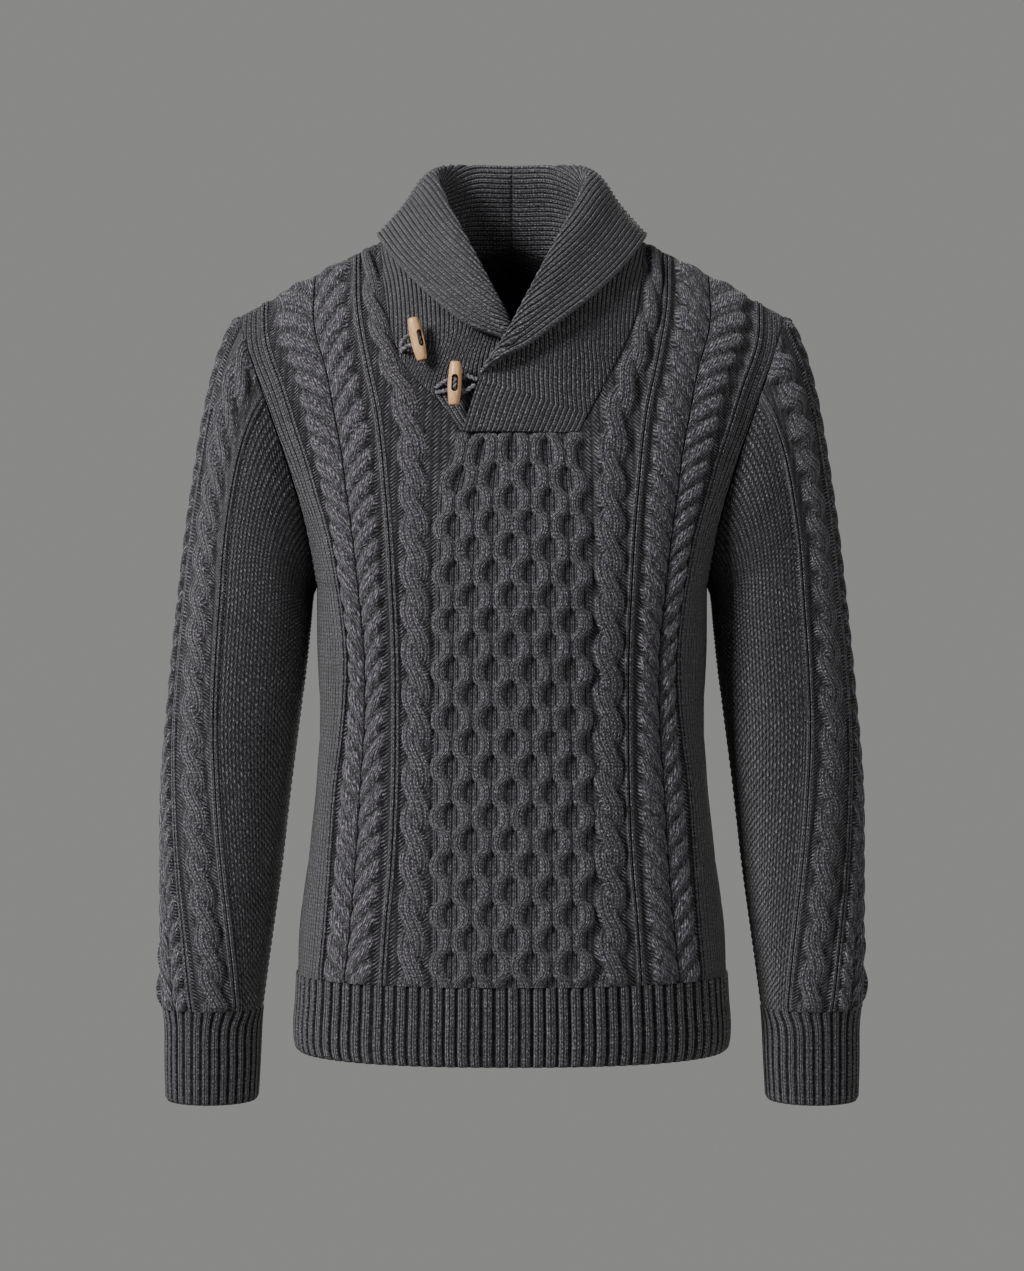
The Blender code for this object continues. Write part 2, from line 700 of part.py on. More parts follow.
def rope(side, mirror):
    """Two strands twisted round each other, as slanting lobes with grooves between them."""
    columns = []
    for share, heights in ((0, CABLE_FOOT), (0.33, ROPE_HEIGHTS), (0.67, ROPE_HEIGHTS), (1, CABLE_FOOT)):
        place = between(side, mirror, ROPE_IN, ROPE_OUT, share)
        slant = ROPE_SLANT * ROPE_WIDTH * (share - 0.5) * mirror * -side
        columns.append(cable_column(side, place, heights, ROPE_STEP, slant))
    return columns


def staghorn(side, mirror):
    """Lobes that slant down to a spine from both sides."""
    columns = []
    for index, other, share, heights, lift in (
        (STAG_IN, SPINE, 0, CABLE_FOOT, 1),
        (STAG_IN, SPINE, 0.5, LOBE_HEIGHTS, 0.6),
        (STAG_IN, SPINE, 1, SPINE_HEIGHT, 0),
        (SPINE, STAG_OUT, 0.5, LOBE_HEIGHTS, 0.6),
        (SPINE, STAG_OUT, 1, CABLE_FOOT, 1),
    ):
        place = between(side, mirror, index, other, share)
        columns.append(cable_column(side, place, heights, STAG_STEP, -STAG_LIFT * lift))
    return columns


def rib_pair(side, mirror, index):
    feet, crests = ((-2 * RIB_HALF, 0), (2 * RIB_HALF, 0)), ((-RIB_HALF, RIB_HEIGHT), (RIB_HALF, RIB_HEIGHT))
    steps = (feet[0], crests[0], (0, RIB_VALLEY), crests[1], feet[1])
    return [plain_column(side, fixed_place(side, mirror, index, offset), height) for offset, height in steps]


def side_edge(side, mirror, angles, step=PLAIN_STEP):
    """The panel's outer edge: the armhole at the sleeve's own vertices, then the side seam."""
    stitches = []
    for angle in angles:
        level = UNDERARM_LEVEL * (1 - math.cos(math.radians(angle))) / 2
        seams = "as" if angle == 0 else "ad" if angle == 180 else "a"
        stitches.append(Stitch(mirror * course_length(side, level), level, 0.0, seams, level))
    for level in spread(UNDERARM_LEVEL, HEM_LEVEL, step)[1:]:
        seams = "dh" if level == HEM_LEVEL else "d"
        stitches.append(Stitch(mirror * course_length(side, level), level, 0.0, seams, level))
    return stitches


def middle_of_side(side, mirror, share, height, step=PLAIN_STEP):
    def place(level, row=0):
        near = line(side, mirror, RIBS_OUT, level) + 2 * RIB_HALF
        return mirror * (near + (course_length(side, level) - near) * share)

    return panel_column(place, (height,), spread(0, HEM_LEVEL, step), "s")


def neck_column(mirror, step):
    """The front's neck seam, then the edge of the honeycomb below it."""
    bottom = level_at_height(FRONT, mirror * neck_edge(mirror, NECK_SEAM[-1, 0]), PLACKET_Z)
    levels = [*NECK_SEAM[:-1, 0], bottom]
    stitches = []
    for row, level in enumerate(levels):
        seams = "ns" if row == 0 else "np" if row == len(levels) - 1 else "n"
        stitches.append(Stitch(mirror * neck_edge(mirror, level), level, 0.0, seams, level))
    for level in spread(bottom, HEM_LEVEL, step)[1:]:
        seams = "h" if level == HEM_LEVEL else ""
        stitches.append(Stitch(mirror * line(FRONT, mirror, HONEY, level), level, 0.0, seams, level))
    return stitches, len(levels) - 1


def half_outer(side, mirror):
    """All columns of half a panel's outer sheet, from the honeycomb out to the side."""
    sheets = [make_column(side, stitches) for stitches in honeycomb(side, mirror)]
    if side == FRONT:
        stitches, corner = neck_column(mirror, 30.0)
        sheets.append(make_column(side, stitches, skip=corner, skip_side=-mirror))
    else:
        sheets.append(make_column(side, plain_column(side, fixed_place(side, mirror, HONEY), step=30.0)))
    groups = (
        *rope(side, mirror),
        *rib_pair(side, mirror, RIBS_IN),
        *staghorn(side, mirror),
        *rib_pair(side, mirror, RIBS_OUT),
        middle_of_side(side, mirror, 0.45, STOCKINETTE_HEIGHT),
        side_edge(side, mirror, SEAM_ANGLES),
    )
    return sheets + [make_column(side, stitches) for stitches in groups]


def half_inner(side, mirror):
    """A plain inner sheet with few columns, whose neck and armhole edges match the outer sheet's."""

    def honey_place(share):
        return lambda level, row=0: mirror * share * line(side, mirror, HONEY, level)

    if side == FRONT:
        place, bases = honey_place(0.5), spread(NECK_SEAM[-1, 0], HEM_LEVEL, PLAIN_STEP)
        sheets = [make_column(side, panel_column(place, (0,), bases, "p", panel_top(side, place)), inner=True)]
        stitches, corner = neck_column(mirror, PLAIN_STEP)
        sheets.append(make_column(side, stitches, inner=True, skip=corner, skip_side=-mirror))
    else:
        sheets = [make_column(side, plain_column(side, honey_place(share)), inner=True) for share in (0.5, 1)]
    columns = [plain_column(side, fixed_place(side, mirror, RIBS_IN, -2 * RIB_HALF))]
    columns.append(plain_column(side, fixed_place(side, mirror, SPINE)))
    columns += [middle_of_side(side, mirror, share, 0) for share in (0, 0.5)]
    columns.append(side_edge(side, mirror, INNER_ANGLES))
    return sheets + [make_column(side, column, inner=True) for column in columns]


def centre_column(side, inner):
    """The column on the centre line, with its top at the placket's bottom seam or at the back neck."""
    first, top, seam = 0.0, BACK_NECK_DROP, "n"
    if side == FRONT:
        first, top, seam = NECK_SEAM[-1, 0], level_at_height(FRONT, 0, PLACKET_Z), "p"
    bases = spread(first, HEM_LEVEL, PLAIN_STEP) if inner else honeycomb_levels(first)
    heights = (0,) if inner else (1.8, 0.0)
    return make_column(side, panel_column(lambda level, row: 0.0, heights, bases, seam, top), inner)


def build_panel(name, side):
    sheets = []
    for inner in (False, True):
        half = half_inner if inner else half_outer
        sheets.append([*reversed(half(side, -1)), centre_column(side, inner), *half(side, 1)])
    return cloth_wall(name, *sheets, WOOL), sheets


# ---- Sleeves and cuffs ---------------------------------------------------------------------------------
def sleeve_layout():
    """Columns of the sleeve's outer sheet: degrees from its centre line, heights, and pitch and shift down it."""
    slant = ROPE_SLANT * ROPE_WIDTH
    layout = [
        (0, SPINE_HEIGHT, STAG_STEP, 0),
        (8.5, LOBE_HEIGHTS, STAG_STEP, -0.6 * STAG_LIFT),
        (17, CABLE_FOOT, STAG_STEP, -STAG_LIFT),
        *rib_columns(SLEEVE_RIBS_IN),
        (27, (0,), PLAIN_STEP, 0),
        (38, CABLE_FOOT, ROPE_STEP, -slant / 2),
        (44.7, ROPE_HEIGHTS, ROPE_STEP, -slant / 6),
        (51.3, ROPE_HEIGHTS, ROPE_STEP, slant / 6),
        (58, CABLE_FOOT, ROPE_STEP, slant / 2),
        (63.5, (0,), PLAIN_STEP, 0),
        *rib_columns(SLEEVE_RIBS_OUT),
        (73, (0,), PLAIN_STEP, 0),
    ]
    layout += [(angle, (MOSS_HEIGHT,), PLAIN_STEP, 0) for angle in MOSS_ANGLES]
    return [*layout, (180, (0,), PLAIN_STEP, 0)]


def rib_columns(angle):
    """A pair of ribs with a narrow valley between them."""
    rib = ((RIB_HEIGHT,), PLAIN_STEP, 0)
    return [(angle - SLEEVE_RIB_HALF, *rib), (angle, (RIB_VALLEY,), PLAIN_STEP, 0), (angle + SLEEVE_RIB_HALF, *rib)]


SEAM_ANGLES = [entry[0] for entry in sleeve_layout()]
INNER_ANGLES = [0, 22.0, 44.7, 68.0, *MOSS_ANGLES, 180]


def ring_point(angle, length):
    """A point of the left sleeve's plain outer face: degrees from its centre line, mm down from the seam."""
    row = smooth(length, SLEEVE)
    outer_x, outer_z, inner_x, inner_z, front, back, centre_y, bow, turn, spreading = row
    turned = math.radians(turn + (angle if abs(angle) > 178 else angle * spread_share(angle, spreading)))
    centre = np.array([(outer_x + inner_x) / 2, centre_y, (outer_z + inner_z) / 2])
    reach = np.array([(outer_x - inner_x) / 2, 0, (outer_z - inner_z) / 2])
    point = centre + reach * math.cos(turned)
    swell = math.sin(turned)
    point[0] -= bow * swell**2 * (1 - math.cos(turned)) / 1.4
    point[1] += (back if swell > 0 else front) * math.copysign(abs(swell) ** ARMHOLE_POWER, swell)
    return point


def spread_share(angle, spreading):
    """The cable columns spread by this much, and the underarm gives way to them."""
    return 1 + (spreading - 1) * max(0.0, min(1.0, (170 - abs(angle)) / 90))


def ring_normal(angle, length):
    step = 1.5
    across = ring_point(angle + step, length) - ring_point(angle - step, length)
    low, high = max(length - step, 0.01), min(length + step, SLEEVE_END)
    down = ring_point(angle, high) - ring_point(angle, low)
    return unit(np.cross(down, across))


def sleeve_point(mirror, angle, length, height):
    if length == 0:
        side = FRONT if angle < 0 else BACK
        point, inward, across = armhole_seam(math.radians(abs(angle)), side)
        if abs(angle) == 180 or angle == 0:
            inward = np.array([inward[0], 0, inward[2]])
        point = point + across * SEAM_GAP / 2 + inward * (-height if height < 0 else 0)
    else:
        point = ring_point(angle, length) + ring_normal(angle, length) * height
        if length == CUFF_SEAM:
            point[2] = CUFF_SEAM_Z + SEAM_GAP / 2
    return point * np.array([mirror, 1, 1])


def sleeve_columns(mirror, inner):
    """Columns right round the sleeve. The front half mirrors the back, but its rope twists the same way."""
    layout = sleeve_layout()
    entries = [(-angle, heights, pitch, shift) for angle, heights, pitch, shift in reversed(layout[1:])]
    columns = []
    for angle, heights, pitch, shift in entries + layout[:-1]:
        if inner and abs(angle) not in INNER_ANGLES:
            continue
        if pitch == ROPE_STEP:
            shift *= mirror * (1 if angle > 0 else -1)
        points = []
        marks = even_marks(CUFF_SEAM, PLAIN_STEP if inner else pitch, 1 if inner else len(heights))
        for row, mark in enumerate(marks):
            room = min(mark, CUFF_SEAM - mark) * 0.45
            mark += 0 if inner else max(-room, min(room, shift))
            height = -WALL if inner else heights[row % len(heights)] * min(1, mark / 30)
            points.append(sleeve_point(mirror, angle, mark, height))
        columns.append(Column(points, marks, angle))
    return columns


def build_sleeve(name, mirror):
    sheets = [sleeve_columns(mirror, inner) for inner in (False, True)]
    return cloth_wall(name, *sheets, WOOL_DARK, tube=True)


def build_cuff(name, mirror):
    sheets = []
    for inner in (False, True):
        count = CUFF_RIBS // 2 if inner else 2 * CUFF_RIBS
        marks = (CUFF_SEAM, SLEEVE_END) if inner else (CUFF_SEAM, 625.0, SLEEVE_END)
        columns = []
        for step in range(count):
            angle = -180 + 360 * step / count
            points = []
            for mark in marks:
                height = -WALL if inner else CUFF_RIB_HEIGHT * (step % 2)
                point = ring_point(angle, mark) + level_normal(angle, mark) * height
                if mark == CUFF_SEAM:
                    point[2] = CUFF_SEAM_Z - SEAM_GAP / 2
                points.append(point * np.array([mirror, 1, 1]))
            columns.append(Column(points, marks, angle))
        sheets.append(columns)
    return cloth_wall(name, *sheets, WOOL, tube=True)


def level_normal(angle, length):
    across = ring_point(angle + 2, length) - ring_point(angle - 2, length)
    return unit(np.array([across[1], -across[0], 0]))


# ---- Hem band ------------------------------------------------------------------------------------------
@lru_cache(maxsize=None)
def hem_ring(z):
    """A level ring of the hem, from the left side seam round the front: points and lengths along it."""
    half_width, front, back = smooth(z, HEM_BAND)
    points = []
    for angle in np.linspace(0, 2 * math.pi, 241):
        across, deep = math.cos(angle), math.sin(angle)
        depth = front if deep >= 0 else back
        x = half_width * math.copysign(abs(across) ** (2 / SECTION_POWER), across)
        y = -depth * math.copysign(abs(deep) ** (2 / SECTION_POWER), deep)
        points.append((x, y, z))
    return np.array(points), lengths(np.array(points))


def hem_point(share, z, height):
    points, distances = hem_ring(z)
    total = distances[-1]
    at = share * total
    tangent = along(points, distances, (at + 2) % total) - along(points, distances, (at - 2) % total)
    outward = unit(np.array([tangent[1], -tangent[0], 0]))
    point = along(points, distances, at)
    outward = outward if outward @ point > 0 else -outward
    return point + outward * height


def build_hem(name):
    top = -HEM_LEVEL - SEAM_GAP / 2
    bottom = HEM_BAND[0, 0]
    sheets = []
    for inner in (False, True):
        count = HEM_RIBS // 2 if inner else 2 * HEM_RIBS
        rows = (top, bottom) if inner else (top, -645.0, bottom)
        columns = []
        for step in range(count):
            height = -WALL if inner else HEM_RIB_HEIGHT * (step % 2)
            points = [hem_point(step / count, z, height) for z in rows]
            columns.append(Column(points, [-z for z in rows], step / count))
        sheets.append(columns)
    return cloth_wall(name, *sheets, WOOL_DARK, tube=True)


# ---- Collar --------------------------------------------------------------------------------------------
def neck_seam(mirror, station):
    """Panel, place round it and level of the neck seam at one of the collar's stations."""
    if station < NECK_STATIONS[0]:
        s = float(np.interp(station, BACK_STATIONS, BACK_NECK_S))
        return BACK, mirror * s, back_neck_level(s)
    level = float(np.interp(station, NECK_STATIONS, NECK_SEAM[:, 0]))
    return FRONT, mirror * neck_edge(mirror, level), level


def seam_run(station):
    """A mark that grows along the neck seam as the panels' own marks do."""
    if station < NECK_STATIONS[0]:
        return float(np.interp(station, BACK_STATIONS, BACK_NECK_S))
    return BACK_NECK_S[-1] + float(np.interp(station, NECK_STATIONS, NECK_SEAM[:, 0]))


def seam_vertex(mirror, station, depth):
    """The collar's own edge at the neck seam, depth mm in from the outer face."""
    side, s, level = neck_seam(mirror, station)
    frames = [seam_frame(side, s, level, "n")]
    if station == NECK_STATIONS[0]:
        frames.append(seam_frame(BACK, s, 0.0, "n"))
    inward = unit(sum(frame[0] for frame in frames))
    back_off = sum(frame[1] for frame in frames) / len(frames)
    point = torso(side, s, level) - back_off * COLLAR_BACK_OFF + inward * depth
    if station == NECK_STATIONS[-1]:
        point[2] = PLACKET_Z + SEAM_GAP / 2
    return point


def collar_section(table, mirror, station):
    """A line across the collar's middle from its free edge over the roll to the seam.

    Returns its points, the lengths along it and the length at which the roll comes."""
    stations = np.column_stack([np.arange(len(table)), table])
    row = smooth(station, stations)
    roll, edge = row[:3], row[3:]
    seam = seam_vertex(mirror, station, WALL / 2)
    seam = seam * np.array([mirror, 1, 1])
    fold = (smooth(station + 0.3, stations) - smooth(station - 0.3, stations))[:3]
    fall = np.linalg.norm(edge - roll)
    to_seam = unit(seam - roll)
    if fall < 1:
        outward = unit(np.cross(fold, to_seam))
        outward = outward if outward[1] < 0 else -outward
        knots = [roll, (roll + seam) / 2 + outward * COLLAR_LAP_BULGE, seam]
        turn = 0
    else:
        to_edge = unit(edge - roll)
        outward = unit(np.cross(fold, to_seam + to_edge))
        outward = outward if outward @ (roll - np.array([0, 20, roll[2]])) > 0 else -outward
        soft = min(1.0, fall / 15)
        knots = [
            edge,
            (edge + roll) / 2 + outward * COLLAR_BULGE * soft,
            roll + (to_edge * 6 + outward * COLLAR_FOLD) * soft,
            roll,
            roll + (to_seam * 6 - outward * COLLAR_FOLD) * soft,
            (roll + seam) / 2 + outward * COLLAR_LAP_BULGE * (1 - soft),
            seam,
        ]
        turn = 3
    knots = np.array(knots)
    track = np.column_stack([lengths(knots), knots])
    points = np.array([smooth(at, track) for at in np.linspace(0, track[-1, 0], 100)])
    distances = lengths(points)
    return points, distances, distances[-1] * track[turn, 0] / track[-1, 0]


def collar_columns(table, mirror, inner, fall_ribs, seam_marks):
    """Columns along the collar from its free edge to the seam. The outer sheet faces out on the band."""
    stations = np.arange(len(table))
    sections = [collar_section(table, mirror, station) for station in stations]
    fall = spread(0, 1, 0.5 / COLLAR_FALL_RIBS) if fall_ribs else [0, 0.5, 0.85, 0.95, 1]
    band = spread(0, 1, 0.5 / COLLAR_BAND_RIBS)[1:]
    shares = [*fall, *(1 + value for value in band[:-1])]
    grid = []
    for share in shares:
        column = []
        for points, distances, turn in sections:
            even = COLLAR_FALL_RIBS / (COLLAR_FALL_RIBS + COLLAR_BAND_RIBS)
            turn = max(turn, distances[-1] * even * (1 - turn / COLLAR_SHORT_FALL))
            at = turn * share if share <= 1 else turn + (distances[-1] - turn) * (share - 1)
            column.append(along(points, distances, at))
        grid.append(column)
    flip = np.array([mirror, 1, 1])
    grid.append([seam_vertex(mirror, station, WALL / 2) * flip for station in stations])
    grid = np.array(grid)
    normals = np.cross(np.gradient(grid, axis=0), np.gradient(grid, axis=1))
    normals /= np.linalg.norm(normals, axis=2)[:, :, None]
    normals *= 1 if normals[len(grid) * 3 // 4, 6, 1] < 0 else -1
    columns = []
    marks = [seam_run(station) for station in stations]
    for number, share in enumerate(shares):
        ribbed = fall_ribs or number >= len(fall)
        raised = COLLAR_RIB_HEIGHT if ribbed and number % 2 else 0
        offset = (WALL / 2 + raised) * (-1 if inner else 1)
        points = [point * flip for point in grid[number] + normals[number] * offset]
        points = [level_end(point, row, mirror) for row, point in enumerate(points)]
        columns.append(Column(points, marks, share))
    edge = [seam_vertex(mirror, mark, WALL if inner else 0.0) for mark in seam_marks]
    edge[0] = level_end(edge[0], 0, mirror)
    columns.append(Column(edge, [seam_run(mark) for mark in seam_marks], 2.0))
    return columns


def level_end(point, row, mirror):
    """Trims the collar's two ends flat: at the centre-back seam and at the placket's bottom seam."""
    if row == 0:
        return np.array([mirror * SEAM_GAP / 2, point[1], point[2]])
    if row == NECK_STATIONS[-1]:
        return np.array([point[0], point[1], PLACKET_Z + SEAM_GAP / 2])
    return point


def build_collar(name, table, mirror, back_sheets, fall_ribs):
    """Half the collar. The fall's ribs can be left out on the outer sheet, which faces the panel there."""
    sheets = []
    for inner in (False, True):
        necks = [c.across * mirror for c in back_sheets[inner] if 0 <= c.across * mirror < BACK_NECK_S[-1] - 0.5]
        marks = sorted(float(np.interp(s, BACK_NECK_S, BACK_STATIONS)) for s in set(necks))
        marks += [float(station) for station in NECK_STATIONS]
        sheets.append(collar_columns(table, mirror, inner, fall_ribs[inner], marks))
    cloth_wall(name, *sheets, WOOL)
    return sheets


# ---- Toggles and their cords ---------------------------------------------------------------------------
def toggle_frame(lean, turn):
    """A toggle's own directions: across the barrel, in through its back, and along it to the top."""
    lean, turn = math.radians(lean), math.radians(turn)
    along_barrel = np.array([math.sin(lean), 0, math.cos(lean)])
    inward = np.array([-math.sin(turn), math.cos(turn), 0])
    inward = unit(inward - along_barrel * (inward @ along_barrel))
    return np.array([np.cross(inward, along_barrel), inward, along_barrel])


def cutter(name, part, mesh, matrix):
    """A hidden solid, placed on the part that it is cut from, and the cut itself."""
    bmesh.ops.transform(mesh, matrix=matrix, verts=mesh.verts)
    data = bpy.data.meshes.new(name)
    mesh.to_mesh(data)
    mesh.free()
    tool = bpy.data.objects.new(name, data)
    collection("cutters").objects.link(tool)
    tool.parent = part
    tool.hide_render = True
    tool.display_type = "WIRE"
    modifier = part.modifiers.new(name, "BOOLEAN")
    modifier.operation = "DIFFERENCE"
    modifier.solver = "EXACT"
    modifier.object = tool


def drill(name, part, radius, place, front, back):
    """A round hole across the barrel at one place along it, from front to back of its axis."""
    mesh = bmesh.new()
    depth = (back - front) * MM
    bmesh.ops.create_cone(
        mesh, cap_ends=True, segments=HOLE_SIDES, radius1=radius * MM, radius2=radius * MM, depth=depth
    )
    middle = Matrix.Translation((0, (front + back) / 2 * MM, place * MM))
    cutter(name, part, mesh, middle @ Matrix.Rotation(math.pi / 2, 4, "X"))


def build_toggle(name, place):
    """A turned barrel with a slot in its front and two holes through the slot's floor for its cord."""
    profile = bmesh.new()
    verts = [profile.verts.new((radius * MM, 0, run * MM)) for radius, run in TOGGLE_PROFILE]
    for near, far in zip(verts, verts[1:]):
        profile.edges.new((near, far))
    barrel = finish(name, profile, WOOD, 0.5)
    turning = barrel.modifiers.new("turning", "SCREW")
    turning.steps = turning.render_steps = TOGGLE_SIDES
    turning.use_merge_vertices = True
    turning.merge_threshold = 0.0001
    centre, frame = place[0], toggle_frame(*place[1:])
    barrel.matrix_world = Matrix.Translation([value * MM for value in centre]) @ Matrix(frame.T).to_4x4()
    slot = bmesh.new()
    bmesh.ops.create_cube(slot, size=MM)
    front, floor = -2 * TOGGLE_RADIUS, -SLOT_FLOOR
    size = Matrix.Diagonal((SLOT_WIDTH, floor - front, 2 * CORD_HOLE_PLACE, 1))
    cutter(name + "_slot", barrel, slot, Matrix.Translation((0, (front + floor) / 2 * MM, 0)) @ size)
    for end, word in ((1, "_upper"), (-1, "_lower")):
        drill(name + word + "_slot_end", barrel, SLOT_WIDTH / 2, end * CORD_HOLE_PLACE, front, floor)
        drill(name + word + "_hole", barrel, CORD_HOLE_RADIUS, end * CORD_HOLE_PLACE, floor - 1, -front)


def band_front(columns, x, z):
    """How far forward a band's outer sheet comes at one place."""
    crossings = []
    for column in columns:
        points = np.array(sorted(column.points, key=lambda point: point[2]))
        crossings.append([np.interp(z, points[:, 2], points[:, axis]) for axis in (0, 1)])
    nearest = sorted(crossings, key=lambda crossing: abs(crossing[0] - x))[:3]
    return min(y for _, y in nearest)


def cord_path(place, strands, band):
    """From the band through the toggle's upper hole, over the bridge in its slot and back by the lower hole."""
    centre, frame = np.array(place[0]), toggle_frame(*place[1:])
    path = []
    for strand, end in zip(strands, (1, -1)):
        behind = [centre + np.array(point) for point in strand]
        x, _, z = behind[-1]
        behind[-1][1] = band_front(band, x, z) - CORD_DIAMETER / 2 - SEAM_GAP + strand[-1][1]
        through = [centre + np.array([0, -out, end * run]) @ frame for out, run in CORD_THREADING]
        half = [*reversed(behind), *through]
        path += half if end == 1 else reversed(half)
    return path


def build_cord(name, path):
    data = bpy.data.curves.new(name, "CURVE")
    data.dimensions = "3D"
    data.bevel_depth = CORD_DIAMETER / 2 * MM
    data.bevel_resolution = 2
    data.use_fill_caps = True
    spline = data.splines.new("POLY")
    spline.points.add(len(path) - 1)
    for control, point in zip(spline.points, path):
        control.co = (*(float(value) * MM for value in point), 1)
    part = bpy.data.objects.new(name, data)
    collection(GARMENT).objects.link(part)
    paint(part, YARN, 0.9)


# ---- Main ----------------------------------------------------------------------------------------------
def clear_scene():
    for item in list(bpy.data.objects):
        bpy.data.objects.remove(item, do_unlink=True)


def main():
    clear_scene()
    build_panel("front", FRONT)
    _, back_sheets = build_panel("back", BACK)
    build_sleeve("sleeve_left", 1)
    build_sleeve("sleeve_right", -1)
    build_hem("hem_rib")
    build_cuff("cuff_left", 1)
    build_cuff("cuff_right", -1)
    build_collar("collar_left", COLLAR_LEFT, 1, back_sheets, (True, True))
    band, _ = build_collar("collar_right", COLLAR_RIGHT, -1, back_sheets, (False, True))
    build_toggle("toggle_upper", TOGGLE_UPPER)
    build_toggle("toggle_lower", TOGGLE_LOWER)
    build_cord("cord_upper", cord_path(TOGGLE_UPPER, CORD_UPPER, band))
    build_cord("cord_lower", cord_path(TOGGLE_LOWER, CORD_LOWER, band))
    build_cord("loop_lower", LOOP_LOWER)


main()
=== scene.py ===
"""Charcoal cable-knit pullover with a shawl collar and two wooden toggles, dressed over its CAD frame.

Sizes are in millimetres and turned into metres as each vertex is made. X runs to the wearer's left, Y to
the back and Z up. The cloth pieces follow the same courses of knitting as the solids that they stand for.
"""

import math

import bmesh
import bpy
import numpy as np
from mathutils import Matrix


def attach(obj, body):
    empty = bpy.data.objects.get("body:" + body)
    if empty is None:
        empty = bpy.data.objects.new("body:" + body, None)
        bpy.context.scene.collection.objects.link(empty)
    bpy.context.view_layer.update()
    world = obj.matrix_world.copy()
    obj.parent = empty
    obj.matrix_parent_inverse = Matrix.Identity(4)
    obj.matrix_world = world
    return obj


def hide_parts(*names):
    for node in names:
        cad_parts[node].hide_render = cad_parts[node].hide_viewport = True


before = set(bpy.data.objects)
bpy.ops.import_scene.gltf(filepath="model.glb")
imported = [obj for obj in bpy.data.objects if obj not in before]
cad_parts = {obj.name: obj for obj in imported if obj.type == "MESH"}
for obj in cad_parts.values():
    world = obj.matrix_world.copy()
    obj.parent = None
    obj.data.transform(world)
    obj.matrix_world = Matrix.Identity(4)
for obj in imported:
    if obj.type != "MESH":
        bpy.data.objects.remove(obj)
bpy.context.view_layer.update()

MM = 0.001
WALL = 2.6  # thickness of the plain knit between cables
SEAM_GAP = 0.4  # clearance between two pieces at a seam
FRONT, BACK = -1, 1
# An edge of the mesh that turns more than this isn't smoothed, and one on a toggle is rounded off.
SHARP_CLOTH, SHARP_WOOD, SHARP_YARN, WORN_WOOD = (math.radians(turn) for turn in (75, 35, 60, 40))
KNIT_COLUMN = 4.4  # width of one column of knit stitches, which has two legs
KNIT_ROW = 3.0  # height of one row of stitches
PLAIN_HEIGHT, PLAIN_FLOOR = 0.8, -0.3  # height of a column of plain knit, and the level of the gap beside it
PURL_STROKE, PURL_LEAN, PURL_LENGTH = 3.1, 0.7, 7.0  # pitch, slope and length of the strokes between cables
MOSS_ROW = 6.4  # length of one stitch of moss stitch, coarser than real so that it shows
MOSS_HEIGHT = 1.0  # how far a pip of moss stitch stands out, and the spot beside it lies in

# ---- Torso sizes ---------------------------------------------------------------------------------------
SHOULDER_POINT = np.array([228.0, 0.0, -60.0])
UNDERARM_POINT = np.array([163.0, 0.0, -285.0])
UNDERARM_LEVEL = 285.0
UNDERARM_SOFT = 70.0  # how far above and below the underarm the courses away from its seam are rounded
UNDERARM_FLARE = 14  # more keeps the bend towards the seam closer to it
HEM_LEVEL = 609.0
SECTION_POWER = 2.35  # 2 is an ellipse, more is squarer
# Courses in the table of a panel's plain face, places along each, and points of the curve they come from.
TORSO_COURSES, COURSE_PLACES, ARC_STEPS = 610, 160, 121
# How deep the armhole reaches to the front and back, how far it bows in and how round it is.
ARMHOLE_FRONT, ARMHOLE_BACK, ARMHOLE_BOW, ARMHOLE_POWER = 50.0, 54.0, 8.0, 0.9
BOW_FLATNESS = 1.4  # more makes the armhole's bow shallower
PLACKET_Z = -164.0  # the level seam across the bottom of the placket
PLACKET_SOUGHT, PLACKET_HALVINGS = (100.0, 240.0), 24  # the levels between which the seam is sought
PLACKET_JOINED = 215.0  # level from which the honeycomb has its own width again, below the placket
PLACKET_WIDENING = 0.7  # less makes the honeycomb widen sooner below the placket
BACK_NECK_DROP, BACK_NECK_POWER = 40.0, 2.2  # level of the neck seam at centre back, and how flat it is

# Columns: level, height at centre front, height at centre back, depth at centre front, depth at centre
# back, half width at the side seam (below the underarm), degrees the row turns from centre to its end.
TORSO = np.array(
    [
        (0, 62, 62, 0, 0, 163, 14),
        (45, -6, 2, 56, 78, 163, 48),
        (90, -60, -50, 80, 100, 163, 58),
        (135, -118, -112, 93, 113, 163, 65),
        (180, -178, -176, 103, 119, 163, 72),
        (230, -230, -230, 112, 120, 163, 81),
        (285, -285, -285, 117, 117, 163, 90),
        (340, -340, -340, 117, 110, 162.6, 90),
        (395, -395, -395, 114, 104, 160.3, 90),
        (450, -450, -450, 113, 104, 163.4, 90),
        (510, -510, -510, 116, 110, 169.5, 90),
        (570, -570, -570, 121, 118, 177.3, 90),
        (609, -609, -609, 123, 121, 179, 90),
    ],
    float,
)

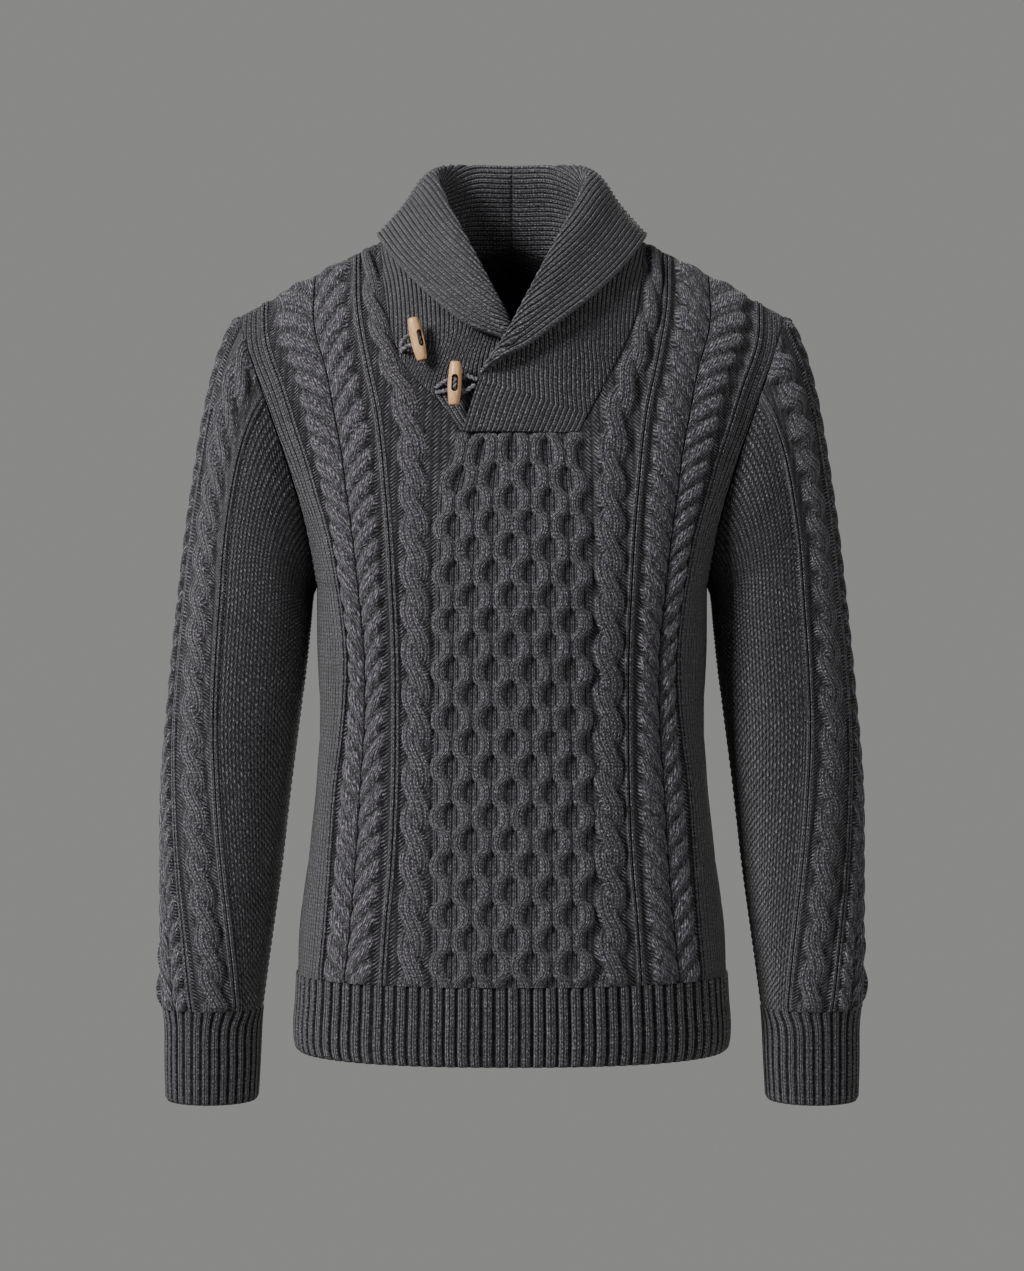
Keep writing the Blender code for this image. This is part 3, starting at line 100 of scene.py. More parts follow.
# Where each column of knitting runs, in mm round from the centre line at each level.
# Columns: level, edge of the honeycomb, rope inner and outer edge, inner rib pair, staghorn inner edge,
# spine and outer edge, outer rib pair.
FRONT_LINES = np.array(
    [
        (0, 124.7, 130, 142, 147, 156, 186, 222, 234),
        (45, 114, 117, 131, 137, 147, 176, 206, 219),
        (90, 97, 100, 117, 126, 136, 161, 187, 202),
        (135, 72, 79, 100, 113, 123, 149, 174, 186),
        (165, 55, 71, 94, 107, 116.5, 141.5, 165, 175.5),
        (200, 60, 69, 91.5, 103, 112.5, 137, 158, 167),
        (250, 61, 67, 90, 99, 108.5, 131, 150, 155.5),
        (300, 62, 66.5, 89.5, 96.5, 106, 126.5, 143.5, 148.5),
        (350, 62.5, 66, 89, 95, 105, 123.5, 139.5, 145.5),
        (400, 63, 65.5, 88.5, 95, 105, 124, 141.5, 150),
        (450, 64, 66, 89, 95.5, 105.5, 127.5, 147, 158),
        (510, 64, 67, 90.5, 98, 108, 131, 152, 162),
        (570, 64, 68.5, 91.5, 103, 113, 136, 157, 165),
        (609, 64, 69.5, 92.5, 105.5, 115.5, 141, 163, 170),
    ],
    float,
)
BACK_LINES = np.array(
    [
        (0, 90, 96, 120, 128.3, 139, 170, 202, 228),
        (45, 84, 89, 113, 121, 130.5, 158, 187, 212),
        (90, 78, 83, 107, 115, 124.5, 150, 176, 198),
        (135, 73, 78, 102, 110, 119.5, 144, 168, 186),
        (200, 68, 73, 97, 104, 113.5, 136, 159, 172),
        (285, 64, 68.5, 92, 98.5, 108, 128, 148, 157),
        (340, 62, 66.5, 89.5, 95.5, 105, 123, 140.5, 148),
        (395, 61, 65, 88, 94, 103.5, 121.5, 139, 147),
        (450, 61, 65, 88, 95, 104.5, 125, 145, 156),
        (510, 62, 66, 89, 97, 107, 129.5, 151, 161),
        (570, 63, 68, 91, 102, 112, 135, 157, 165),
        (609, 64, 69.5, 92.5, 105.5, 115.5, 141, 163, 170),
    ],
    float,
)
HONEY, ROPE_IN, ROPE_OUT, RIBS_IN, STAG_IN, SPINE, STAG_OUT, RIBS_OUT = range(8)

# The collar's seam on the front: level, mm round from the centre on the left and on the right.
NECK_SEAM = np.array(
    [
        (0, 124.7, 124.7),
        (22, 119.5, 119),
        (45, 113.5, 112.5),
        (75, 104, 105),
        (105, 89, 93),
        (120, 80, 81),
        (135, 71, 66),
        (150, 62, 52),
        (164, 54, 42),
    ],
    float,
)

# ---- Sleeve sizes --------------------------------------------------------------------------------------
# Columns: length down the sleeve, outer x, outer z, inner x, inner z, half depth to the front, to the
# back, centre y, bow of the ring, degrees that the knitting turns to the front, spread of its columns.
SLEEVE = np.array(
    [
        (0, 228, -60, 163, -285, 50, 54, 0, 8, 0, 1),
        (33, 240.5, -88, 164.2, -286.6, 56, 59, 0, 6, 0, 1),
        (75, 251.5, -129, 165.4, -289, 61, 64, 1, 3, 0, 1),
        (133, 261.5, -186, 166.8, -293, 64, 67, 3, 0, -1, 1),
        (188, 269.5, -240, 168.2, -300, 65, 68, 5, 0, -2, 1),
        (238, 275.5, -290, 170, -320, 65, 67, 6, 0, -4, 1),
        (299, 282, -350, 174, -358, 63, 65, 6, 0, -6, 1),
        (354, 287, -405, 180, -405, 61, 62, 4, 0, -10, 1),
        (409, 290, -459, 187, -462, 58, 59, 1, 0, -17.5, 1),
        (469, 290, -518, 193, -518, 55, 55, -4, 0, -24, 1.03),
        (529, 290.5, -576, 200.5, -576, 51, 51, -10, 0, -36, 1.05),
        (574, 291, -618.5, 206, -618.5, 48, 47, -15, 0, -45, 1.08),
        (593, 290, -636.5, 208, -636.5, 45, 44, -17, 0, -48, 1.08),
        (606, 288.5, -649, 209, -649, 42.5, 41.5, -18, 0, -48, 1),
        (640, 287.8, -682, 210.3, -682, 41.5, 40.5, -21, 0, -48, 1),
        (671, 286.5, -712.5, 211.8, -712.5, 40.5, 39.5, -24, 0, -48, 1),
    ],
    float,
)
CUFF_SEAM, SLEEVE_END = 593.0, 671.0
STAG_EDGE_ANGLE, RIBS_IN_ANGLE, RIBS_OUT_ANGLE = 17.0, 22.0, 68.0
ROPE_ANGLE, ROPE_HALF_ANGLE = 46.5, 12.0
RIBS_HALF_ANGLE = 3.6
MOSS_FROM_ANGLE = 74.0
MOSS_COLUMNS = 32  # from there to the underarm, on each side
SPREAD_END, SPREAD_FADE = 170, 90  # degrees at which the columns' spread ends, and over which it fades
ARMHOLE_SOFTNESS = 0.6  # less makes the relief rise more slowly from the armhole's seam
SLEEVE_INNER_STEP = (9, 9)  # rows and columns of the outer sheet to one of the inner sheet

# ---- Ribbed bands --------------------------------------------------------------------------------------
# Columns: z, half width, depth at the front, depth at the back.
HEM_BAND = np.array(
    [
        (-673, 179, 122, 120),
        (-664, 181, 124, 122),
        (-650, 181.5, 124.5, 122),
        (-630, 180, 124, 121.5),
        (-609, 179, 123, 121),
    ],
    float,
)
SHADED_COLUMN = 0.1  # a count across that lies in a gap, which the material paints near-black as shade: the yarn down between two ribs
BAND_RIB_HALF = 0.4  # half of a rib's width, as a share of the pitch of the ribs
BAND_FLOOR = -1.2  # level of the groove between two ribs
BAND_SINK = 0.8  # how far a rib is let into the wall
RING_POINTS = 721  # points of the curve that the hem's rings come from
RIB_STEPS = 10  # columns of the mesh to each rib
EDGE_SHARPNESS = 1.5  # how much more sharply a band's free edge turns in than a sewn edge
HEM_RIBS, HEM_RIB_HEIGHT, HEM_ROWS, HEM_INNER_STEP = 98, 2.6, 23, (11, 20)
CUFF_RIBS, CUFF_RIB_HEIGHT, CUFF_ROWS, CUFF_INNER_STEP = 32, 2.0, 27, (13, 10)

# ---- Collar sizes --------------------------------------------------------------------------------------
# A row for each station along half of the collar, from centre back round the neck and down the placket.
# Columns: roll line x, y, z and free edge x, y, z. The two halves are alike round the back of the neck, and
# in front the left half lies on the right half.
COLLAR_BEHIND = (
    (0, 60, 74, 0, 94, -14),
    (34, 55, 74, 52, 89, -11),
    (57, 38, 71, 89, 63, -2),
    (65, 14, 62, 109.5, 30, 9),
    (61.5, -8, 49, 113, 4, 8),
)
COLLAR_LEFT = np.array(
    [
        *COLLAR_BEHIND,
        (53.5, -35, 28, 110, -22, 1),
        (41, -62, 2, 95, -52, -21),
        (25.3, -87, -30, 69, -86, -50),
        (9.3, -103, -62, 37, -107, -77),
        (-2, -110, -84, 12, -114, -96),
        (-14, -110, -103, -9.5, -117, -107.5),
        (-27, -108, -124, -27, -108, -124),
        (-40, -103.5, -163.85, -40, -103.5, -163.85),
    ],
    float,
)
COLLAR_RIGHT = np.array(
    [
        *COLLAR_BEHIND,
        (53.5, -34, 28, 110, -22, 1),
        (41, -60, 2, 95, -51, -21),
        (25.3, -83, -30, 69, -84, -50),
        (9.3, -96, -62, 37, -102, -77),
        (-2, -97, -84, 5, -101, -91),
        (-13, -96, -106, -13, -96, -106),
        (-25, -94, -126, -25, -94, -126),
        (-40, -92.5, -163.85, -40, -92.5, -163.85),
    ],
    float,
)
COLLAR_RIB = 4.1  # pitch of the 1x1 rib, which runs parallel to the free edge
COLLAR_RIB_HEIGHT, COLLAR_RIB_SINK = 1.7, 0.4  # how high a rib is, and how far it is let into the wall
COLLAR_EDGE_SINK = 0.8  # how far the relief turns in along each edge
COLLAR_FOLD, COLLAR_FOLD_RUN = 4.2, 6.0  # half the distance from band to fall, and how far in from the roll
COLLAR_BULGE = 2.0  # how far the fall is rounded out between its roll and its free edge
COLLAR_LAP_BULGE = 2.0  # how far the band is rounded out where the two halves lap
COLLAR_PLAIN_FALL = 15.0  # a fall narrower than this is folded less
COLLAR_POINTS = 120  # along a section, before it is divided into columns
BACK_SEAM_GAP = 0.04  # the halves meet closely at centre back, so that no light comes through
COLLAR_COLUMNS, COLLAR_ROWS = 236, 132
NEARBY = 2.0  # how far off the spots are from which a direction on the torso is taken
NEARBY_STATION = 0.3  # the same along the collar's roll line, in stations
NECK_MIDDLE_Y = 20.0  # the neck's middle lies this far behind the origin
LEAST_FALL = 1.0  # where the fall is narrower than this, there is only a band
NECK_STATIONS = (4, 5, 6, 7, 8, 9, 10, 11, 12)  # the collar's station at each row of NECK_SEAM
BACK_STATIONS = (0, 1, 2, 3, 4)
BACK_NECK_S = (0, 45, 86, 109, 124.7)  # mm round from centre back at each of these stations

# ---- Cable sizes ---------------------------------------------------------------------------------------
STRANDS_EACH_SIDE = 4
STRAND_HALF_WIDTH, STRAND_HEIGHT = 5.9, 5.2
STRAND_COLUMNS = 3  # columns of knit on a strand
STRAND_SWING = 0.28125  # how far a strand sways to either side, as a share of the strands' pitch
STRAND_TURN, ROPE_TURN = 1.5, 0.7  # more makes a strand turn more sharply between two straight stretches
# How round each form is across: 1 is half an ellipse, and less is fuller at its sides.
STRAND_ROUND, ROPE_ROUND, LOBE_ROUND, RIB_ROUND, BAND_ROUND = 0.7, 0.65, 0.6, 0.8, 0.6
CELL_CREASE, CREASE_HALF_WIDTH = 0.9, 1.3  # the line down the middle of a cell
CELL_COLUMNS = 4  # columns of knit to each strand's pitch, on the floor of the cells
HONEY_STEP = 19.6  # from one touch of two strands to the next touch beside it
HONEY_START = 16.0  # from the top of the honeycomb to the first touch
ROPE_STEP = 33.0  # from one crossing to the next
ROPE_HEIGHT = 6.5  # height of the upper strand where it crosses the other
ROPE_LIFT = 0.48  # the share of that height by which the crossing lifts it
ROPE_SHARE = 0.62  # a strand's half width as a share of the rope's
ROPE_FULLNESS = 1.12  # the rope's width as a share of the column that it fills
STAG_STEP = 20.0  # from one lobe to the next
LOBE_HEIGHT, LOBE_HALF_WIDTH = 5.2, 0.54  # the width is a share of the step from one lobe to the next
LOBE_TILT = 2.4  # how much its lower side stands out over the next lobe, per step
LOBE_START, LOBE_FULL_FROM = 0.45, 0.5  # share of its height beside the spine, and where it has all of it
LOBE_END_FROM, LOBE_END_LENGTH = 0.74, 0.3  # where its outer end starts to be rounded, and over what length
LOBE_COLUMNS, LOBE_ROW_SLANT = 1.4, 0.4  # columns of knit to each step, and how much the rows slant down
LOBE_GAP = 0.02  # how far out from the spine a lobe starts, as a share of its length
STAG_LIFT = 24.0  # a lobe's outer end is this much higher than where it meets the spine
STAG_CURVE = 0.35  # how much of that lift is lost again towards the outer end
SPINE_HEIGHT = 1.5
RIB_HALF, RIB_HEIGHT = 1.8, 2.5
RIB_WIDTH = 0.52  # a rib's half width as a share of the ribs' pitch
RIB_COLUMNS = 0.9  # columns of knit to that pitch
PURL_DEPTH = -0.6  # level of the purl between cables
GROOVE_DEPTH, GROOVE_SOFTNESS = 1.1, 0.65  # where two cables lie against each other

# ---- Toggles -------------------------------------------------------------------------------------------
TOGGLE_SIDES, TOGGLE_RINGS, HOLE_SIDES, SLOT_END_SEGMENTS = 48, 19, 28, 10
TOGGLE_HALF_LENGTH, TOGGLE_RADIUS, TOGGLE_END_RADIUS = 17.5, 5.5, 4.1
TOGGLE_CHAMFER, WORN_EDGE = 0.7, 0.3
TOGGLE_SKIN = 0.6  # wood deeper than this, in the slot and holes, is painted dark as shade
TOGGLE_FULLNESS = 2.6  # more keeps the barrel's full width nearer to its ends
SLOT_WIDTH, SLOT_LENGTH = 5.3, 13.8
SLOT_END_FLAT = 0.02  # what is left flat at the middle of the slot's round ends
SLOT_FLOOR = 0.5  # the slot's floor lies this far in front of the barrel's axis
CORD_HOLE_RADIUS = 2.1
CORD_HOLE_START = 1.0  # each hole's cutter starts this far in front of the slot's floor
CORD_HOLE_PLACE = (SLOT_LENGTH - SLOT_WIDTH) / 2  # along the barrel from its middle to each hole
# One half of a cord's way through its toggle: out from the barrel's axis, along from its middle.
CORD_THREADING = ((-6.0, CORD_HOLE_PLACE), (1.2, 4.15), (2.2, 3.3), (2.45, 2.0))
# Place of the middle, degrees that the top leans to the wearer's left, degrees that the slot faces round.
TOGGLE_UPPER = ((-76.3, -97.0, -88.9), -12.7, 35.0)
TOGGLE_LOWER = ((-45.9, -108.8, -125.6), 2.5, 0.0)
# Each cord's two strands, from its sewn end to the back of its toggle: x, y, z.
CORD_UPPER = (
    ((-89.9, -78.9, -92.9), (-86.8, -90.8, -87.9), (-83.5, -91.0, -85.6)),
    ((-89.5, -80.0, -96.8), (-86.3, -90.8, -95.1), (-82.8, -90.8, -93.9)),
)
CORD_LOWER = (
    ((-61.6, -92.7, -128.0), (-52.4, -97.9, -122.4), (-48.3, -98.1, -121.5), (-46.3, -100.0, -121.4)),
    ((-61.6, -93.6, -132.0), (-52.4, -97.9, -130.6), (-48.5, -98.1, -130.0), (-46.5, -100.0, -129.8)),
)
# The loop sewn to the left band's edge, round the lower cord behind its toggle: x, y, z.
LOOP_LOWER = (
    (-27.9, -108, -122.9),
    (-33, -107.2, -120.6),
    (-38, -104.5, -118.7),
    (-42, -101.9, -117.9),
    (-46, -101.4, -117.8),
    (-49, -101.4, -119.3),
    (-50.2, -101.4, -122.5),
    (-50.2, -101.4, -128.6),
    (-49, -101.4, -131.9),
    (-46, -101.4, -133.4),
    (-42, -101.9, -133.3),
    (-38, -104.5, -131.6),
    (-33, -107.2, -129.1),
    (-29.4, -108, -126.5),
)
PLY_RADIUS, PLY_OFFSET = 1.13, 0.85  # one of a cord's two plies, and how far it lies from the cord's middle
PLY_TWIST = 7.5  # length of cord in which its plies go once round each other
PLY_SIDES, PLY_RING_STEP = 10, 0.6
PLY_ASIDE = (0.3, 0.2, 0.9)  # a direction along which no cord starts
PLY_SHIFT = 3  # how far the fibres of the second ply are moved round, so that the two differ


# ---- Small mathematics ---------------------------------------------------------------------------------
def smooth(x, table):
    """The table's columns after the first, read at every x on smooth curves through its rows."""
    xs = table[:, 0]
    x = np.clip(np.atleast_1d(np.asarray(x, float)), xs[0], xs[-1])
    slopes = np.diff(table[:, 1:], axis=0) / np.diff(xs)[:, None]
    tangents = np.vstack([slopes[:1], (slopes[:-1] + slopes[1:]) / 2, slopes[-1:]])
    row = np.clip(np.searchsorted(xs, x, side="right") - 1, 0, len(xs) - 2)
    width = (xs[row + 1] - xs[row])[:, None]
    t = (x - xs[row])[:, None] / width
    return (
        (2 * t**3 - 3 * t**2 + 1) * table[row, 1:]
        + (t**3 - 2 * t**2 + t) * width * tangents[row]
        + (3 * t**2 - 2 * t**3) * table[row + 1, 1:]
        + (t**3 - t**2) * width * tangents[row + 1]
    )


def unit(vectors):
    return vectors / np.maximum(np.linalg.norm(vectors, axis=-1, keepdims=True), 1e-9)


def lengths(points):
    return np.concatenate([[0], np.cumsum(np.linalg.norm(np.diff(points, axis=0), axis=1))])


def along(points, distances, at):
    """The points at some distances along a polyline."""
    return np.stack([np.interp(at, distances, points[:, axis]) for axis in range(3)], axis=-1)


def ease(x):
    """0 up to x = 0, 1 from x = 1, and a smooth rise between."""
    x = np.clip(x, 0, 1)
    return x * x * (3 - 2 * x)


def dome(x):
    """The height of a round bump: 1 at x = 0 and 0 from x = 1 out."""
    return np.sqrt(np.clip(1 - x * x, 0, 1))


def turning(wave, sharpness):
    """A wave from -1 to 1, flattened at its crests: more is squarer."""
    return np.tanh(sharpness * wave) / math.tanh(sharpness)


def grid_normals(points):
    """Unit normals of a grid of points, from its rows down and its columns across."""
    return unit(np.cross(np.gradient(points, axis=0), np.gradient(points, axis=1)))


# ---- Torso ---------------------------------------------------------------------------------------------
def armhole(angle, side):
    """A point of the left armhole's seam. The angle is 0 at the shoulder and pi at the underarm."""
    centre = (SHOULDER_POINT + UNDERARM_POINT) / 2
    point = centre + (SHOULDER_POINT - UNDERARM_POINT) / 2 * math.cos(angle)
    swell = max(math.sin(angle), 0.0)
    point[0] -= ARMHOLE_BOW * swell**2 * (1 - math.cos(angle)) / BOW_FLATNESS
    point[1] = (-ARMHOLE_FRONT if side == FRONT else ARMHOLE_BACK) * swell**ARMHOLE_POWER
    return point


def armhole_angle(level):
    return math.acos(np.clip(1 - 2 * level / UNDERARM_LEVEL, -1, 1))


def course(side, level):
    """One knitted course on the left half, from the centre line to its end: points and lengths along it."""
    front_z, back_z, front, back, half_width, turn = smooth(level, TORSO)[0]
    start = np.array([0, -front, front_z]) if side == FRONT else np.array([0, back, back_z])
    if level < UNDERARM_LEVEL:
        end = armhole(armhole_angle(level), side)
    else:
        end = np.array([half_width, 0, -level])
    soft = softened(end, level, side)
    angles = np.linspace(0, math.radians(turn), ARC_STEPS)
    across = np.sin(angles) ** (2 / SECTION_POWER)
    deep = 1 - np.maximum(np.cos(angles), 0) ** (2 / SECTION_POWER)
    across, deep = across / across[-1], deep / deep[-1]
    points = start + (soft - start) * np.stack([across, deep, across], axis=1)
    points += (end - soft) * across[:, None] ** UNDERARM_FLARE
    return points, lengths(points)


def softened(end, level, side):
    """Where a course would end if the corner under the arm were rounded off, as it is away from the seam."""
    away = level - UNDERARM_LEVEL
    rounding = max(UNDERARM_SOFT - abs(away), 0) ** 2 / (4 * UNDERARM_SOFT)
    slope = (SHOULDER_POINT - UNDERARM_POINT) / UNDERARM_LEVEL
    depth = end[1]
    if away > -UNDERARM_SOFT:
        depth = armhole(armhole_angle(UNDERARM_LEVEL - UNDERARM_SOFT), side)[1]
        depth *= 1 - ease((away + UNDERARM_SOFT) / (2 * UNDERARM_SOFT))
    return np.array([end[0] + slope[0] * rounding, depth, end[2] + (slope[2] - 1) * rounding])


class Torso:
    """The plain outer face of the front or back, read quickly from a table of its courses."""

    def __init__(self, side):
        self.levels = np.linspace(0, HEM_LEVEL, TORSO_COURSES)
        made = [course(side, level) for level in self.levels]
        self.reach = np.array([distances[-1] for _, distances in made])
        self.shares = np.linspace(0, 1, COURSE_PLACES)
        rows = [along(points, distances, distances[-1] * self.shares) for points, distances in made]
        self.rows = np.array(rows)

    def edge(self, level):
        return np.interp(level, self.levels, self.reach)

    def point(self, s, level):
        """The point s mm round from the centre line at a level, for arrays of both."""
        s, level = np.broadcast_arrays(np.asarray(s, float), np.asarray(level, float))
        share = np.clip(np.abs(s) / self.edge(level), 0, 1) * (len(self.shares) - 1)
        row = np.clip(level / HEM_LEVEL, 0, 1) * (len(self.levels) - 1)
        i = np.minimum(row.astype(int), len(self.levels) - 2)
        j = np.minimum(share.astype(int), len(self.shares) - 2)
        a, b = (row - i)[..., None], (share - j)[..., None]
        near = self.rows[i, j] * (1 - b) + self.rows[i, j + 1] * b
        far = self.rows[i + 1, j] * (1 - b) + self.rows[i + 1, j + 1] * b
        point = near * (1 - a) + far * a
        point[..., 0] *= np.where(s >= 0, 1, -1)
        return point


TORSOS = {FRONT: Torso(FRONT), BACK: Torso(BACK)}


def neck_edge(mirror, level):
    """How far round the front's neck seam is at a level, on the left (mirror 1) or the right (-1)."""
    return smooth(level, NECK_SEAM)[:, 0 if mirror == 1 else 1]


def back_neck_level(s):
    share = np.minimum(np.abs(s) / NECK_SEAM[0, 1], 1)
    return BACK_NECK_DROP * (1 - share**BACK_NECK_POWER)


def placket_level(s):
    """The level at which the front reaches the height of the placket's bottom seam."""
    low, high = PLACKET_SOUGHT
    for _ in range(PLACKET_HALVINGS):
        middle = (low + high) / 2
        above = TORSOS[FRONT].point(s, middle)[..., 2] > PLACKET_Z
        low, high = (middle, high) if above else (low, middle)
    return (low + high) / 2


def knit_lines(side, mirror, levels):
    """Where the columns of knitting run at some levels: a row of eight places for each level."""
    lines = smooth(levels, FRONT_LINES if side == FRONT else BACK_LINES)
    if side == BACK:
        return lines
    bottom = NECK_SEAM[-1, 0]
    share = np.clip((levels - bottom) / (PLACKET_JOINED - bottom), 0, 1) ** PLACKET_WIDENING
    start = neck_edge(mirror, np.minimum(levels, bottom))
    blended = start + (smooth(PLACKET_JOINED, FRONT_LINES)[0, HONEY] - start) * share
    lines[:, HONEY] = np.where(levels < PLACKET_JOINED, blended, lines[:, HONEY])
    return lines


# ---- Knit patterns -------------------------------------------------------------------------------------
# The kind of stitch that shows on a face, which its material reads.
LOBE, CABLE, KNIT, PURL, MOSS = -2.0, -1.0, 0.0, 1.0, 2.0
ABSENT = -50.0  # height of a layer where it isn't knitted
OTHER_STRAND, OTHER_LOBE = 40, 10  # how far the counts of the second strand or lobe are moved on


class Knit:
    """Layers of knitting over one grid. At each spot the highest layer shows.

    A layer has a height in mm, and counts of its stitches across and down. A whole number across lies in
    the gap between two columns of knit, or between two strokes of purl."""

    def __init__(self, shape):
        self.shape = shape
        self.layers = []

    def lay(self, height, columns, rows, where=True, kind=KNIT):
        height = np.where(where, height, ABSENT)
        grids = [np.broadcast_to(value, self.shape) for value in (height, columns, rows)]
        self.layers.append([*grids, kind])

    def lay_purl(self, height, place, run, where=True):
        """The wrong side of the knitting, which shows as short slanting strokes."""
        self.lay(height, (run - PURL_LEAN * place) / PURL_STROKE, place / PURL_LENGTH, where, PURL)

    def relief(self):
        """The height at each spot, and from 0 to 1 how much of it is the groove between two cables."""
        ranked = np.sort([layer[0] for layer in self.layers], axis=0)
        groove = np.exp((ranked[-2] - ranked[-1]) / GROOVE_SOFTNESS)
        return ranked[-1] - GROOVE_DEPTH * groove, groove

    def on_faces(self):
        """For each cell of the grid: the stitch counts at its corners in its top layer, and its kind."""
        heights = np.array([layer[0] for layer in self.layers])
        middle = heights[:, :-1, :-1] + heights[:, 1:, :-1] + heights[:, :-1, 1:] + heights[:, 1:, 1:]
        owner = np.argmax(middle, axis=0)
        kinds = np.array([layer[3] for layer in self.layers])[owner]
        i, j = np.indices(owner.shape)
        corners = []
        for down, over in ((0, 0), (1, 0), (1, 1), (0, 1)):
            at = owner, i + down, j + over
            columns, rows = (np.array([layer[part] for layer in self.layers])[at] for part in (1, 2))
            corners.append(np.stack([columns, rows + np.where(kinds == MOSS, 0.5 * (j % 2), 0)], axis=-1))
        return np.stack(corners, axis=2), kinds


def lay_rope(knit, x, run, half, hand, step):
    """Two strands twisted round each other. The one that crosses towards `hand` is on top."""
    half = half * ROPE_FULLNESS
    strand = half * ROPE_SHARE
    sway, lift = half - strand, ROPE_LIFT * ROPE_HEIGHT
    for number in (0, 1):
        phase = run / step - number
        offset = -hand * sway * turning(np.cos(np.pi * phase), ROPE_TURN)
        across = (x - offset) / strand
        level = lift * np.sin(np.pi * phase)
        top = level + (ROPE_HEIGHT - lift) * dome(across) ** ROPE_ROUND
        columns = across * STRAND_COLUMNS / 2 + 0.5 + OTHER_STRAND * number
        knit.lay(top, columns, run / KNIT_ROW, np.abs(across) < 1, CABLE)


def lay_ribs(knit, x, run, height=RIB_HEIGHT):
    """Two raised single columns of knit beside each other."""
    pitch = 2 * RIB_HALF
    for side in (-1, 1):
        across = (x - side * RIB_HALF) / pitch
        shape = height * dome(across / RIB_WIDTH) ** RIB_ROUND
        knit.lay(shape, across * RIB_COLUMNS + 0.5, run / KNIT_ROW, np.abs(across) < RIB_WIDTH)


def lay_staghorn(knit, x, run, inner, outer, step):
    """Lobes with round outer ends that slant down to a spine from both sides, over a spine of two ribs."""
    for sign, reach in ((-1, inner), (1, outer)):
        share = sign * x / reach
        lift = STAG_LIFT * ((1 + STAG_CURVE) * share - STAG_CURVE * share**2)
        phase = (run + lift) / step - 0.5
        rounding = np.maximum(share - LOBE_END_FROM, 0) / LOBE_END_LENGTH
        rise = LOBE_START + (1 - LOBE_START) * ease(share / LOBE_FULL_FROM)
        steep = math.hypot(1, float(np.mean(STAG_LIFT / reach)))
        for parity in (0, 1):
            centre = 2 * np.round((phase - parity) / 2) + parity
            across = phase - centre
            from_spine = np.hypot(across / LOBE_HALF_WIDTH, rounding)
            top = rise * (LOBE_HEIGHT * dome(from_spine) ** LOBE_ROUND + LOBE_TILT * across)
            columns = across * LOBE_COLUMNS * sign + 0.5 + OTHER_LOBE * parity
            rows = (sign * x * steep + run * LOBE_ROW_SLANT) / KNIT_ROW
            knit.lay(top, columns, rows, (from_spine < 1) & (share > LOBE_GAP), LOBE)
    lay_ribs(knit, x, run, SPINE_HEIGHT)


def lay_honeycomb(knit, s, run, pitch, start):
    """Wavy strands that meet the strand on either side in turn."""
    for strand in range(STRANDS_EACH_SIDE):
        wave = turning(np.cos(np.pi * (run - start) / HONEY_STEP), STRAND_TURN) * (-1) ** strand
        across = (s - pitch * (strand + 0.5 + STRAND_SWING * wave)) / STRAND_HALF_WIDTH
        shape = STRAND_HEIGHT * dome(across) ** STRAND_ROUND
        knit.lay(shape, across * STRAND_COLUMNS / 2 + 0.5, run / KNIT_ROW, np.abs(across) < 1, CABLE)


# ---- Cloth sheets --------------------------------------------------------------------------------------
INSIDE_SHADE = 0.85  # painted shade on the yarn inside the garment
RIM_COLUMN = 0.22  # a count across that lies partly in a gap, so the yarn on a cut edge is painted partly in shade
SEAM_SHARE, SEAM_REACH = 0.3, 4.0  # share of its relief that a sewn edge keeps, and how far in it has all
SEAM_SINK, SEAM_TURN = 0.9, 1.6  # how deep a sewn edge turns in, and over what distance
JOIN_SHARE, JOIN_REACH = 0.55, 7.0  # as SEAM_SHARE and SEAM_REACH, for an edge that goes on as another knit
SEAM_SHADE_REACH = 1.8  # how far in from a sewn edge its shade reaches
FLOOR_SHADE, FLOOR_DEPTH = 0.4, 0.6  # shade of the floor between cables, and how deep it lies
CREST_SHARE = 0.7  # yarn higher than this share of a cable's height has no shade


